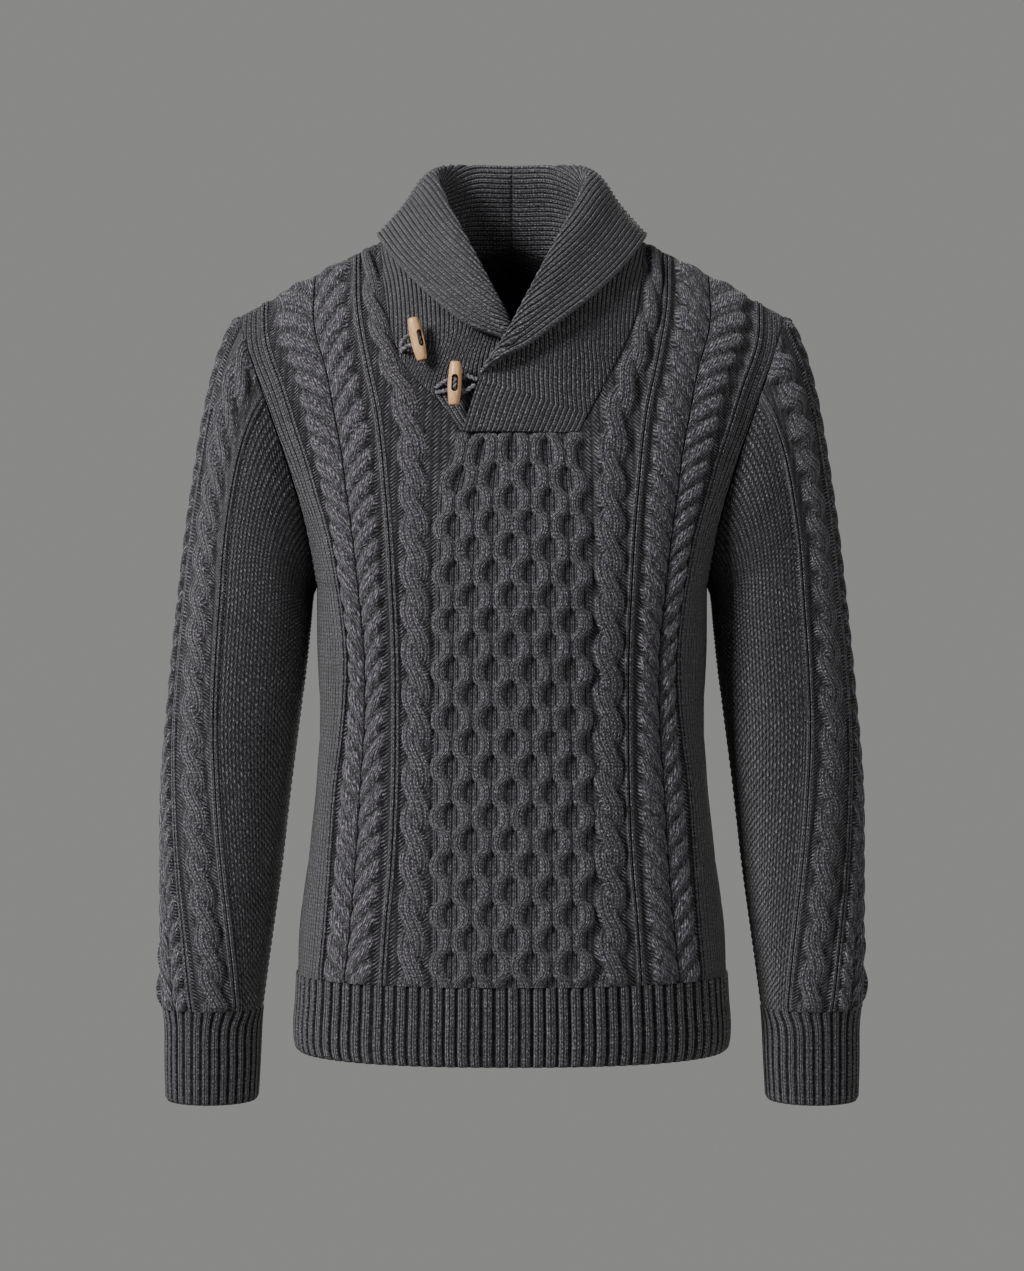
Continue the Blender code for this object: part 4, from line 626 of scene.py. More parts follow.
class Shell:
    """A closed wall: a fine outer sheet with its knit, an inner sheet and the rims that join them."""

    def __init__(self, outer, inner, rows, columns, mask=None, wrap=False):
        self.outer, self.inner, self.rows, self.columns, self.wrap = outer, inner, rows, columns, wrap
        self.high, self.wide = outer.shape[:2]
        self.upper = np.arange(self.high * self.wide).reshape(self.high, self.wide)
        self.lower = self.upper.size + np.arange(inner.shape[0] * inner.shape[1]).reshape(inner.shape[:2])
        self.mask = np.ones((self.high - 1, self.wide - (not wrap)), bool) if mask is None else mask
        across = np.linalg.norm(inner[0, 1] - inner[0, 0]) / KNIT_COLUMN
        down = np.linalg.norm(inner[1, 0] - inner[0, 0]) / KNIT_ROW
        self.inner_counts = max(round(across), 1), max(round(down), 1)
        self.faces, self.stitches, self.kinds = [], [], []

    def add(self, face, stitches, kind):
        self.faces.append([int(vert) for vert in face])
        self.stitches.append(stitches)
        self.kinds.append(kind)

    def lay_outer(self, stitches, kinds):
        for i, j in zip(*np.nonzero(self.mask)):
            k = (j + 1) % self.wide
            grid = self.upper
            self.add((grid[i, j], grid[i + 1, j], grid[i + 1, k], grid[i, k]), stitches[i, j], kinds[i, j])

    def lay_inner(self, stitches=None, kinds=None):
        """The inner sheet, with its own knit or with plain purl counted from its rows and columns."""
        grid = self.lower
        for i, row in enumerate(self.rows[:-1]):
            for j, column in enumerate(self.columns[: None if self.wrap else -1]):
                if not self.mask[row, column]:
                    continue
                k = (j + 1) % len(self.columns)
                face = (grid[i, j], grid[i, k], grid[i + 1, k], grid[i + 1, j])
                if stitches is None:
                    right, down = self.inner_counts
                    here = [(0, 0), (0, 1), (1, 1), (1, 0)]
                    self.add(face, [(down * (i + a), right * (j + b)) for a, b in here], PURL)
                else:
                    self.add(face, stitches[i, j][[0, 3, 2, 1]], kinds[i, j])

    def close(self, start, end):
        """A rim along one straight run of the grid, from one (row, column) corner to another."""
        (i, j), (i2, j2) = start, end
        if i == i2:
            stops = [(i, column) for column in self.columns if min(j, j2) <= column <= max(j, j2)]
        else:
            stops = [(row, j) for row in self.rows if min(i, i2) <= row <= max(i, i2)]
        if self.wrap:
            stops.append(stops[0])
        for number, (near, far) in enumerate(zip(stops, stops[1:])):
            last = far[1] + (self.wide if self.wrap and number == len(stops) - 2 else 0)
            run = [(row, near[1]) for row in range(near[0], far[0] + 1)]
            if near[0] == far[0]:
                run = [(near[0], column % self.wide) for column in range(near[1], last + 1)]
            self.fan([self.upper[spot] for spot in run], self.below(near), self.below(far), number)

    def below(self, spot):
        return self.lower[self.rows.index(spot[0]), self.columns.index(spot[1])]

    def fan(self, run, near, far, number):
        middle = len(run) // 2
        for count, (a, b) in enumerate(zip(run, run[1:])):
            foot = near if count < middle else far
            place = number + count / len(run)
            corners = [(RIM_COLUMN, place), (RIM_COLUMN, place + 0.1), (RIM_COLUMN, place)]
            self.add((a, b, foot), corners, PURL)
        corners = [(RIM_COLUMN, number + 0.5), (RIM_COLUMN, number + 1), (RIM_COLUMN, number)]
        self.add((run[middle], far, near), corners, PURL)

    def build(self, name, depth):
        """The finished object. `depth` is how much painted shade each outer vertex gets, from 0 to 1, more
        where it lies down in the knit; the inner sheet gets INSIDE_SHADE.
        """
        verts = np.concatenate([self.outer.reshape(-1, 3), self.inner.reshape(-1, 3)]) * MM
        data = bpy.data.meshes.new(name)
        data.from_pydata(verts.tolist(), [], self.faces)
        stitches = data.uv_layers.new(name="stitches")
        flat = np.concatenate([np.asarray(item, np.float32).reshape(-1, 2) for item in self.stitches])
        stitches.data.foreach_set("uv", flat.ravel())
        kind = data.attributes.new("kind", "FLOAT", "FACE")
        kind.data.foreach_set("value", np.array(self.kinds, np.float32))
        # The depth attribute holds painted shade: how much darker the yarn is painted in grooves, at seams
        # and inside.
        deep = data.attributes.new("depth", "FLOAT", "POINT")
        rest = np.full(len(verts) - depth.size, INSIDE_SHADE)
        deep.data.foreach_set("value", np.concatenate([depth.ravel(), rest]).astype(np.float32))
        mesh = bmesh.new()
        mesh.from_mesh(data)
        loose = [vert for vert in mesh.verts if not vert.link_faces]
        bmesh.ops.delete(mesh, geom=loose, context="VERTS")
        bmesh.ops.recalc_face_normals(mesh, faces=mesh.faces)
        mesh.to_mesh(data)
        mesh.free()
        data.shade_smooth()
        data.set_sharp_from_angle(angle=SHARP_CLOTH)
        piece = bpy.data.objects.new(name, data)
        bpy.context.scene.collection.objects.link(piece)
        return piece


def spaced(stops):
    """Places through some stops, each given as (place, number of steps that lead to it)."""
    places = [np.asarray(stops[0][0], float)[..., None]]
    for (start, _), (end, count) in zip(stops, stops[1:]):
        start, end = np.asarray(start, float)[..., None], np.asarray(end, float)[..., None]
        places.append(start + (end - start) * np.arange(1, count + 1) / count)
    return np.concatenate(places, axis=-1)


def every(count, step, *kept):
    """Every step-th number up to the last, with the kept ones among them."""
    return sorted({*range(0, count - 1, step), count - 1, *kept})


def seam_shade(seams):
    """How shaded the yarn is by the nearest of some sewn edges at the given distances, from 0 to 1."""
    nearest = np.minimum.reduce([np.asarray(distance, float) for distance in seams])
    return 1 - ease(nearest / SEAM_SHADE_REACH)


def settle(height, seams, joins=()):
    """The relief, sunk and turned in along each sewn edge, and only eased down along each edge that goes on
    as another knit. The edges lie at the given distances."""
    for distance in seams:
        height = height * (SEAM_SHARE + (1 - SEAM_SHARE) * ease(distance / SEAM_REACH))
        height = height - SEAM_SINK * (1 - ease(distance / SEAM_TURN))
    for distance in joins:
        height = height * (JOIN_SHARE + (1 - JOIN_SHARE) * ease(distance / JOIN_REACH))
    return height


# ---- Front and back ------------------------------------------------------------------------------------
HONEY_COLUMNS = 44  # on each side of the centre line
PANEL_INNER_STEP = 9  # rows and columns of the outer sheet to one of the inner sheet
PANEL_SEAM_SHADE = 0.7  # a panel's sewn edges are shaded less than a groove
FAR = 99.0  # a distance beyond the reach of any seam


def half_places(side, mirror, levels):
    """Columns of half a panel from the honeycomb's edge out to the side, at each of the levels."""
    lines = knit_lines(side, mirror, levels).T
    ribs_in, spine, ribs_out = lines[RIBS_IN], lines[SPINE], lines[RIBS_OUT]
    wide = 2 * RIB_HALF
    edge = TORSOS[side].edge(levels) - SEAM_GAP / 2
    stops = [(lines[HONEY], 0), (lines[ROPE_IN], 3), (lines[ROPE_OUT], 16), (ribs_in - wide, 4)]
    stops += [(ribs_in + wide, 8), (lines[STAG_IN], 3), (spine - wide, 12), (spine + wide, 8)]
    stops += [(lines[STAG_OUT], 12), (ribs_out - wide, 3), (ribs_out + wide, 8), (edge, 13)]
    return spaced(stops)


def panel_grid(side, pitch):
    """Place round and level of every spot of a panel, the row of the placket's seam and its columns."""
    bottom = NECK_SEAM[-1, 0] if side == FRONT else 0.0
    above = round(bottom / pitch)
    below = round((HEM_LEVEL - bottom) / pitch)
    halves = []
    for mirror in (1, -1):
        start = placket_level(mirror * neck_edge(mirror, bottom)[0]) if side == FRONT else 0.0
        down = [*(start * np.arange(above) / max(above, 1))]
        down += [*np.linspace(start, HEM_LEVEL - SEAM_GAP / 2, below + 1)]
        levels = np.maximum(np.array(down), SEAM_GAP / 2)
        outer = half_places(side, mirror, levels)
        shares = np.arange(HONEY_COLUMNS) / HONEY_COLUMNS
        places = np.concatenate([outer[:, :1] * shares, outer], axis=1)
        halves.append((mirror * places, np.repeat(levels[:, None], places.shape[1], axis=1)))
    (left, left_levels), (right, right_levels) = halves
    s = np.concatenate([right[:, :0:-1], left], axis=1)
    level = np.concatenate([right_levels[:, :0:-1], left_levels], axis=1)
    centre = s.shape[1] // 2
    if side == FRONT:
        for column in range(centre - HONEY_COLUMNS + 1, centre + HONEY_COLUMNS):
            top = placket_level(s[above, column]) + SEAM_GAP / 2
            level[above:, column] = np.linspace(top, HEM_LEVEL - SEAM_GAP / 2, below + 1)
            level[:above, column] = top * np.arange(above) / max(above, 1)
    else:
        top = back_neck_level(s[0]) + SEAM_GAP / 2
        share = np.linspace(0, 1, below + 1)[:, None]
        level = top + (HEM_LEVEL - SEAM_GAP / 2 - top) * share
    return s, level, above, centre


def panel_run(side, s, level):
    """The count of mm down the knitting, which is squeezed where a panel starts below its top."""
    if side == FRONT:
        return level
    top = back_neck_level(s)
    return (level - top) * HEM_LEVEL / (HEM_LEVEL - top)


def panel_knit(side, s, level):
    knit = Knit(s.shape)
    run = panel_run(side, s, level)
    lines = {m: knit_lines(side, m, level.ravel()).reshape(*level.shape, 8) for m in (1, -1)}
    lines = np.where(s[..., None] >= 0, lines[1], lines[-1])
    place = np.abs(s)
    rows = run / KNIT_ROW
    pitch = lines[..., HONEY] / STRANDS_EACH_SIDE
    from_middle = place - pitch * np.round(place / pitch)
    floor = -CELL_CREASE * np.exp(-((from_middle / CREASE_HALF_WIDTH) ** 2))
    knit.lay(floor, place / pitch * CELL_COLUMNS, rows, place < lines[..., HONEY])
    side_of_ribs = place > lines[..., RIBS_OUT] + 2 * RIB_HALF
    columns = (place - lines[..., RIBS_OUT] - 2 * RIB_HALF) / KNIT_COLUMN
    knit.lay(PLAIN_HEIGHT * np.abs(np.sin(np.pi * columns)) + PLAIN_FLOOR, columns, rows, side_of_ribs)
    knit.lay_purl(PURL_DEPTH, place, run, (place >= lines[..., HONEY]) & ~side_of_ribs)
    start = HONEY_START + (NECK_SEAM[-1, 0] if side == FRONT else 0.0)
    lay_honeycomb(knit, place, run, pitch, start)
    middle = (lines[..., ROPE_IN] + lines[..., ROPE_OUT]) / 2
    hand = -side * np.where(s >= 0, 1, -1)
    half = (lines[..., ROPE_OUT] - lines[..., ROPE_IN]) / 2
    lay_rope(knit, place - middle, run, half, hand, HEM_LEVEL / round(HEM_LEVEL / ROPE_STEP))
    for index in (RIBS_IN, RIBS_OUT):
        lay_ribs(knit, place - lines[..., index], run)
    spine = lines[..., SPINE]
    reach = spine - lines[..., STAG_IN], lines[..., STAG_OUT] - spine
    lay_staghorn(knit, place - spine, run, *reach, HEM_LEVEL / round(HEM_LEVEL / STAG_STEP))
    return knit


def panel_edges(side, s, level, above, centre):
    """How far each spot of a panel is from each of its sewn edges."""
    distances = [TORSOS[side].edge(level) - np.abs(s)]
    if side == BACK:
        return [*distances, level - back_neck_level(s)]
    necks = [neck_edge(mirror, level.ravel()).reshape(s.shape) for mirror in (1, -1)]
    neck = np.where(s >= 0, *necks)
    inside = np.abs(np.arange(s.shape[1]) - centre) <= HONEY_COLUMNS
    below = (np.arange(s.shape[0]) >= above)[:, None] & inside
    placket = np.where(below, level - level[above], FAR)
    upper = np.where((np.arange(s.shape[0]) < above)[:, None], np.abs(s) - neck, FAR)
    return [*distances, level, placket, upper]


def build_panel(name, side, pitch):
    s, level, above, centre = panel_grid(side, pitch)
    plain = TORSOS[side].point(s, level)
    normals = grid_normals(plain)
    if np.mean(normals[..., 1]) * side < 0:
        normals = -normals
    knit = panel_knit(side, s, level)
    height, groove = knit.relief()
    seams = panel_edges(side, s, level, above, centre)
    height = settle(height, seams, [HEM_LEVEL - level])
    outer = plain + normals * height[..., None]
    left, right = centre + HONEY_COLUMNS, centre - HONEY_COLUMNS
    high, wide = s.shape
    rows = every(high, PANEL_INNER_STEP, above)
    columns = every(wide, PANEL_INNER_STEP, left, right)
    inner = (plain - normals * WALL)[np.ix_(rows, columns)]
    mask = np.ones((high - 1, wide - 1), bool)
    mask[:above, right:left] = False
    shell = Shell(outer, inner, rows, columns, mask)
    shell.lay_outer(*knit.on_faces())
    shell.lay_inner()
    last, end = high - 1, wide - 1
    shell.close((0, 0), (last, 0))
    shell.close((0, end), (last, end))
    shell.close((last, 0), (last, end))
    if side == FRONT:
        shell.close((0, 0), (0, right))
        shell.close((0, left), (0, end))
        shell.close((0, right), (above, right))
        shell.close((0, left), (above, left))
        shell.close((above, right), (above, left))
    else:
        shell.close((0, 0), (0, end))
    shade_at_seams = PANEL_SEAM_SHADE * seam_shade(seams)
    return shell.build(name, np.maximum(sunk(height, groove, STRAND_HEIGHT), shade_at_seams))


def sunk(height, groove, full):
    """How shaded the yarn is: up to 1 in a groove, a little on the floor and 0 on a crest."""
    risen = ease((height + FLOOR_DEPTH) / (CREST_SHARE * full + FLOOR_DEPTH))
    return np.maximum(FLOOR_SHADE * (1 - risen), groove)


# ---- Sleeves and cuffs ---------------------------------------------------------------------------------
def ring_point(angle, length):
    """Points of the left sleeve's plain outer face: degrees from its centre line, mm down from the seam."""
    angle, length = np.broadcast_arrays(np.asarray(angle, float), np.asarray(length, float))
    row = smooth(length.ravel(), SLEEVE).reshape(*length.shape, 10)
    outer_x, outer_z, inner_x, inner_z, front, back, centre_y, bow, turn, spreading = np.moveaxis(row, -1, 0)
    spread = 1 + (spreading - 1) * np.clip((SPREAD_END - np.abs(angle)) / SPREAD_FADE, 0, 1)
    turned = np.radians(turn + angle * spread)
    centre = np.stack([(outer_x + inner_x) / 2, centre_y, (outer_z + inner_z) / 2], axis=-1)
    reach = np.stack([(outer_x - inner_x) / 2, 0 * turn, (outer_z - inner_z) / 2], axis=-1)
    point = centre + reach * np.cos(turned)[..., None]
    swell = np.sin(turned)
    point[..., 0] -= bow * swell**2 * (1 - np.cos(turned)) / BOW_FLATNESS
    point[..., 1] += np.where(swell > 0, back, front) * np.sign(swell) * np.abs(swell) ** ARMHOLE_POWER
    return point


def sleeve_angles():
    """Degrees of the sleeve's columns all round, closer on the cables. Both ends are the underarm."""
    stops = [(0, 0), (4, 4), (STAG_EDGE_ANGLE, 10)]
    stops += [(RIBS_IN_ANGLE - RIBS_HALF_ANGLE, 1), (RIBS_IN_ANGLE + RIBS_HALF_ANGLE, 8)]
    stops += [(ROPE_ANGLE - ROPE_HALF_ANGLE, 5), (ROPE_ANGLE + ROPE_HALF_ANGLE, 14)]
    stops += [(RIBS_OUT_ANGLE - RIBS_HALF_ANGLE, 3), (RIBS_OUT_ANGLE + RIBS_HALF_ANGLE, 8)]
    half = spaced([*stops, (MOSS_FROM_ANGLE, 1), (180, MOSS_COLUMNS)])
    return np.concatenate([-half[:0:-1], half])


def sleeve_knit(mirror, angle, length, per_degree):
    knit = Knit(angle.shape)
    turn = np.abs(angle)
    knit.lay_purl(PURL_DEPTH, turn * per_degree, length, turn < MOSS_FROM_ANGLE)
    moss_column = (180 - MOSS_FROM_ANGLE) / MOSS_COLUMNS
    columns = (turn - MOSS_FROM_ANGLE) / moss_column
    proud = MOSS_HEIGHT * np.cos(np.pi * (np.round(columns) + 2 * length / MOSS_ROW))
    knit.lay(proud, columns, length / MOSS_ROW, turn >= MOSS_FROM_ANGLE, MOSS)
    x = angle * per_degree
    reach = STAG_EDGE_ANGLE * per_degree
    lay_staghorn(knit, x, length, reach, reach, CUFF_SEAM / round(CUFF_SEAM / STAG_STEP))
    for centre in (RIBS_IN_ANGLE, RIBS_OUT_ANGLE):
        lay_ribs(knit, (turn - centre) * per_degree, length)
    hand = mirror * np.where(angle >= 0, 1, -1)
    rope = (turn - ROPE_ANGLE) * per_degree
    step = CUFF_SEAM / round(CUFF_SEAM / ROPE_STEP)
    lay_rope(knit, rope, length, ROPE_HALF_ANGLE * per_degree, hand, step)
    return knit


def tube(name, mirror, plain, normals, knit, seams, joins, inner_step, full):
    """A closed tube from a grid whose last column repeats its first."""
    height, groove = knit.relief()
    height = settle(height, seams, joins)
    flip = np.array([mirror, 1, 1])
    outer = ((plain + normals * height[..., None]) * flip)[:, :-1]
    high, wide = outer.shape[:2]
    rows, columns = every(high, inner_step[0]), every(wide, inner_step[1])[:-1]
    inner = ((plain - normals * WALL) * flip)[np.ix_(rows, columns)]
    shell = Shell(outer, inner, rows, columns, wrap=True)
    shell.lay_outer(*knit.on_faces())
    shell.lay_inner()
    shell.close((0, 0), (0, wide - 1))
    shell.close((high - 1, 0), (high - 1, wide - 1))
    return shell.build(name, sunk(height, groove, full)[:, :-1])


def tube_normals(plain):
    """Outward unit normals of a grid whose last column repeats its first."""
    across = np.gradient(plain, axis=1)
    across[:, 0] = across[:, -1] = (plain[:, 1] - plain[:, -2]) / 2
    normals = unit(np.cross(np.gradient(plain, axis=0), across))
    centre = plain[:, :-1].mean(axis=1, keepdims=True)
    outward = np.sum(normals * (plain - centre), axis=-1).mean()
    return normals if outward > 0 else -normals


def build_sleeve(name, mirror, pitch=2.1):
    lengths_down = np.linspace(SEAM_GAP / 2, CUFF_SEAM - SEAM_GAP / 2, round(CUFF_SEAM / pitch) + 1)
    angle, length = np.meshgrid(sleeve_angles(), lengths_down)
    plain = ring_point(angle, length)
    round_it = np.linalg.norm(np.diff(plain, axis=1), axis=-1).sum(axis=1)
    per_degree = np.repeat((round_it / 360)[:, None], angle.shape[1], axis=1)
    knit = sleeve_knit(mirror, angle, length, per_degree)
    seams, joins = [length * ARMHOLE_SOFTNESS], [CUFF_SEAM - length]
    normals, step = tube_normals(plain), SLEEVE_INNER_STEP
    return tube(name, mirror, plain, normals, knit, seams, joins, step, STRAND_HEIGHT)


def rib_places(count):
    """Shares of the way round a band of so many ribs, at each column of its mesh."""
    return np.arange(count * RIB_STEPS + 1) / (count * RIB_STEPS)


def lay_band(knit, count, across, run, height):
    """A ribbed band: two raised columns of knit and a narrow purl groove, `count` times round it."""
    phase = across * count
    place = phase - np.floor(phase) - 0.5
    knit.lay(BAND_FLOOR, SHADED_COLUMN, run / KNIT_ROW, kind=PURL)
    shape = height * dome(place / BAND_RIB_HALF) ** BAND_ROUND - BAND_SINK
    columns = place / BAND_RIB_HALF + 2 * np.floor(phase)
    knit.lay(shape, columns, run / KNIT_ROW, np.abs(place) < BAND_RIB_HALF)


def build_cuff(name, mirror):
    lengths_down = np.linspace(CUFF_SEAM + SEAM_GAP / 2, SLEEVE_END, CUFF_ROWS)
    across, length = np.meshgrid(rib_places(CUFF_RIBS), lengths_down)
    plain = ring_point(-180 + 360 * across, length)
    knit = Knit(across.shape)
    lay_band(knit, CUFF_RIBS, across, length, CUFF_RIB_HEIGHT)
    seams = [(SLEEVE_END - length) * EDGE_SHARPNESS]
    return tube(name, mirror, plain, tube_normals(plain), knit, seams, [], CUFF_INNER_STEP, CUFF_RIB_HEIGHT)


# ---- Hem band ------------------------------------------------------------------------------------------
def hem_ring(z, shares):
    """Points of a level ring of the hem at shares of its length, from the left side seam round the front."""
    half_width, front, back = smooth(z, HEM_BAND)[0]
    angles = np.linspace(0, 2 * math.pi, RING_POINTS)
    across, deep = np.cos(angles), np.sin(angles)
    x = half_width * np.sign(across) * np.abs(across) ** (2 / SECTION_POWER)
    y = -np.where(deep >= 0, front, back) * np.sign(deep) * np.abs(deep) ** (2 / SECTION_POWER)
    points = np.stack([x, y, np.full(x.shape, z)], axis=-1)
    distances = lengths(points)
    return along(points, distances, distances[-1] * shares)


def build_hem(name):
    shares = rib_places(HEM_RIBS)
    top, bottom = -HEM_LEVEL - SEAM_GAP / 2, HEM_BAND[0, 0]
    heights = np.linspace(top, bottom, HEM_ROWS)
    plain = np.array([hem_ring(z, shares) for z in heights])
    across, z = np.meshgrid(shares, heights)
    knit = Knit(across.shape)
    lay_band(knit, HEM_RIBS, across, -z, HEM_RIB_HEIGHT)
    seams = [(z - bottom) * EDGE_SHARPNESS]
    return tube(name, 1, plain, tube_normals(plain), knit, seams, [], HEM_INNER_STEP, HEM_RIB_HEIGHT)


# ---- Collar --------------------------------------------------------------------------------------------
def collar_seam(mirror, station):
    """The collar's edge at the neck seam in the middle of its wall, on its own side of the seam."""
    if station < NECK_STATIONS[0]:
        side = BACK
        s = float(np.interp(station, BACK_STATIONS, BACK_NECK_S))
        ahead = s + NEARBY
        level, level_ahead = float(back_neck_level(s)), float(back_neck_level(ahead))
    else:
        side = FRONT
        level = float(np.interp(station, NECK_STATIONS, NECK_SEAM[:, 0]))
        level_ahead = level + NEARBY
        s, ahead = float(neck_edge(mirror, level)[0]), float(neck_edge(mirror, level_ahead)[0])
    torso = TORSOS[side]
    here = torso.point(mirror * s, level)
    down = torso.point(mirror * s, level + NEARBY) - torso.point(mirror * s, max(level - NEARBY, 0))
    over = torso.point(mirror * (s + NEARBY), level) - torso.point(mirror * (s - NEARBY), level)
    normal = unit(np.cross(down, over))
    normal = normal if normal[1] * side > 0 else -normal
    seam = torso.point(mirror * ahead, level_ahead) - here
    away = unit(np.cross(seam, normal))
    inside = torso.point(mirror * (s + 2 * NEARBY), level + 1.5 * NEARBY)
    away = away if away @ (inside - here) > 0 else -away
    return here - away * SEAM_GAP - normal * WALL / 2


def collar_section(table, mirror, station):
    """A line across the collar's middle from its free edge over the roll to the seam, as in the solid."""
    stations = np.column_stack([np.arange(len(table)), table])
    row = smooth(station, stations)[0]
    roll, edge = row[:3], row[3:]
    seam = collar_seam(mirror, station) * np.array([mirror, 1, 1])
    if station >= NECK_STATIONS[-1]:
        seam[2] = PLACKET_Z + SEAM_GAP / 2
    fold = (smooth(station + NEARBY_STATION, stations) - smooth(station - NEARBY_STATION, stations))[0, :3]
    fall = np.linalg.norm(edge - roll)
    to_seam = unit(seam - roll)
    if fall < LEAST_FALL:
        outward = unit(np.cross(fold, to_seam))
        outward = outward if outward[1] < 0 else -outward
        knots = [roll, (roll + seam) / 2 + outward * COLLAR_LAP_BULGE, seam]
    else:
        to_edge = unit(edge - roll)
        outward = unit(np.cross(fold, to_seam + to_edge))
        outward = outward if outward @ (roll - np.array([0, NECK_MIDDLE_Y, roll[2]])) > 0 else -outward
        soft = min(1.0, fall / COLLAR_PLAIN_FALL)
        knots = [
            edge,
            (edge + roll) / 2 + outward * COLLAR_BULGE * soft,
            roll + (to_edge * COLLAR_FOLD_RUN + outward * COLLAR_FOLD) * soft,
            roll,
            roll + (to_seam * COLLAR_FOLD_RUN - outward * COLLAR_FOLD) * soft,
            (roll + seam) / 2 + outward * COLLAR_LAP_BULGE * (1 - soft),
            seam,
        ]
    knots = np.array(knots)
    track = np.column_stack([lengths(knots), knots])
    return smooth(np.linspace(0, track[-1, 0], COLLAR_POINTS), track)


def build_collar(name, table, mirror):
    """Half the collar, with 1x1 rib on both faces parallel to its free edge."""
    stations = np.linspace(0, len(table) - 1, COLLAR_ROWS + 1)
    plain, across = [], []
    for station in stations:
        points = collar_section(table, mirror, station)
        distances = lengths(points)
        at = distances[-1] * np.linspace(0, 1, COLLAR_COLUMNS + 1)
        plain.append(along(points, distances, at))
        across.append(at)
    plain, across = np.array(plain), np.array(across)
    plain[0, :, 0] = BACK_SEAM_GAP / 2
    plain[-1, :, 2] = PLACKET_Z + SEAM_GAP / 2
    # Lengths along the collar are measured a third of the way in from its free edge.
    run = lengths(plain[:, COLLAR_COLUMNS // 3])[:, None] + 0 * across
    normals = grid_normals(plain)
    # The normals start on the side away from the wearer, which is forwards on the band in front.
    if normals[-COLLAR_ROWS // 6, -COLLAR_COLUMNS // 4, 1] > 0:
        normals = -normals
    edges = [across, across[:, -1:] - across, run, run[-1] - run]
    sheets, knits, painted_shades = [], [], []
    for face in (1, -1):
        knit = Knit(across.shape)
        columns = across / COLLAR_RIB + (0.5 if face == 1 else 0)
        height = COLLAR_RIB_HEIGHT * np.abs(np.sin(np.pi * columns)) - COLLAR_RIB_SINK
        knit.lay(height, columns, run / KNIT_ROW)
        for distance in edges:
            height = height - COLLAR_EDGE_SINK * (1 - ease(distance / SEAM_TURN))
        sheets.append((plain + normals * face * (WALL / 2 + height)[..., None]) * np.array([mirror, 1, 1]))
        knits.append(knit.on_faces())
        # Painted shade for each face: darker on the floor between ribs and along the centre back seam.
        risen = ease((height + COLLAR_RIB_SINK) / COLLAR_RIB_HEIGHT)
        painted_shades.append(np.maximum(FLOOR_SHADE * (1 - risen), seam_shade([run])))
    rows, columns = list(range(COLLAR_ROWS + 1)), list(range(COLLAR_COLUMNS + 1))
    shell = Shell(*sheets, rows, columns)
    shell.lay_outer(*knits[0])
    shell.lay_inner(*knits[1])
    last, end = COLLAR_ROWS, COLLAR_COLUMNS
    shell.close((0, 0), (last, 0))
    shell.close((0, end), (last, end))
    shell.close((0, 0), (0, end))
    shell.close((last, 0), (last, end))
    return shell.build(name, np.concatenate([painted_shade.ravel() for painted_shade in painted_shades]))


# ---- Toggles and their cords ---------------------------------------------------------------------------
def toggle_frame(lean, turn):
    """A toggle's own directions: across the barrel, in through its back, and along it to the top."""
    lean, turn = math.radians(lean), math.radians(turn)
    along_barrel = np.array([math.sin(lean), 0, math.cos(lean)])
    inward = np.array([-math.sin(turn), math.cos(turn), 0])
    inward = unit(inward - along_barrel * (inward @ along_barrel))
    return np.array([np.cross(inward, along_barrel), inward, along_barrel])


def apply_cut(part, tool):
    """Cuts one solid out of another and takes the cutting solid away."""
    modifier = part.modifiers.new("cut", "BOOLEAN")
    modifier.operation, modifier.solver, modifier.object = "DIFFERENCE", "EXACT", tool
    bpy.context.view_layer.objects.active = part
    bpy.ops.object.modifier_apply(modifier=modifier.name)
    bpy.data.objects.remove(tool, do_unlink=True)


def barrel_radius(place):
    """The turned barrel's radius at a place along it from its middle."""
    share = min(abs(place) / (TOGGLE_HALF_LENGTH - TOGGLE_CHAMFER), 1)
    return TOGGLE_RADIUS - (TOGGLE_RADIUS - TOGGLE_END_RADIUS) * share**TOGGLE_FULLNESS


def turn_barrel():
    """A barrel drawn up ring by ring from its lower end, with a chamfer at both ends."""
    bpy.ops.object.select_all(action="DESELECT")
    full = TOGGLE_HALF_LENGTH - TOGGLE_CHAMFER
    places = [-TOGGLE_HALF_LENGTH, *np.linspace(-full, full, TOGGLE_RINGS), TOGGLE_HALF_LENGTH]
    radii = [barrel_radius(place) for place in places]
    radii[0] = radii[-1] = TOGGLE_END_RADIUS - TOGGLE_CHAMFER
    bpy.ops.mesh.primitive_circle_add(
        vertices=TOGGLE_SIDES, radius=radii[0] * MM, fill_type="NGON", location=(0, 0, places[0] * MM)
    )
    barrel = bpy.context.object
    bpy.ops.object.transform_apply(location=True)
    bpy.ops.object.mode_set(mode="EDIT")
    bpy.ops.mesh.select_all(action="SELECT")
    for (low, high), (near, far) in zip(zip(places, places[1:]), zip(radii, radii[1:])):
        bpy.ops.mesh.extrude_region_move(TRANSFORM_OT_translate={"value": (0, 0, (high - low) * MM)})
        bpy.ops.transform.resize(value=(far / near, far / near, 1))
    bpy.ops.mesh.select_all(action="SELECT")
    bpy.ops.mesh.fill_holes(sides=0)
    bpy.ops.mesh.normals_make_consistent(inside=False)
    bpy.ops.object.mode_set(mode="OBJECT")
    return barrel


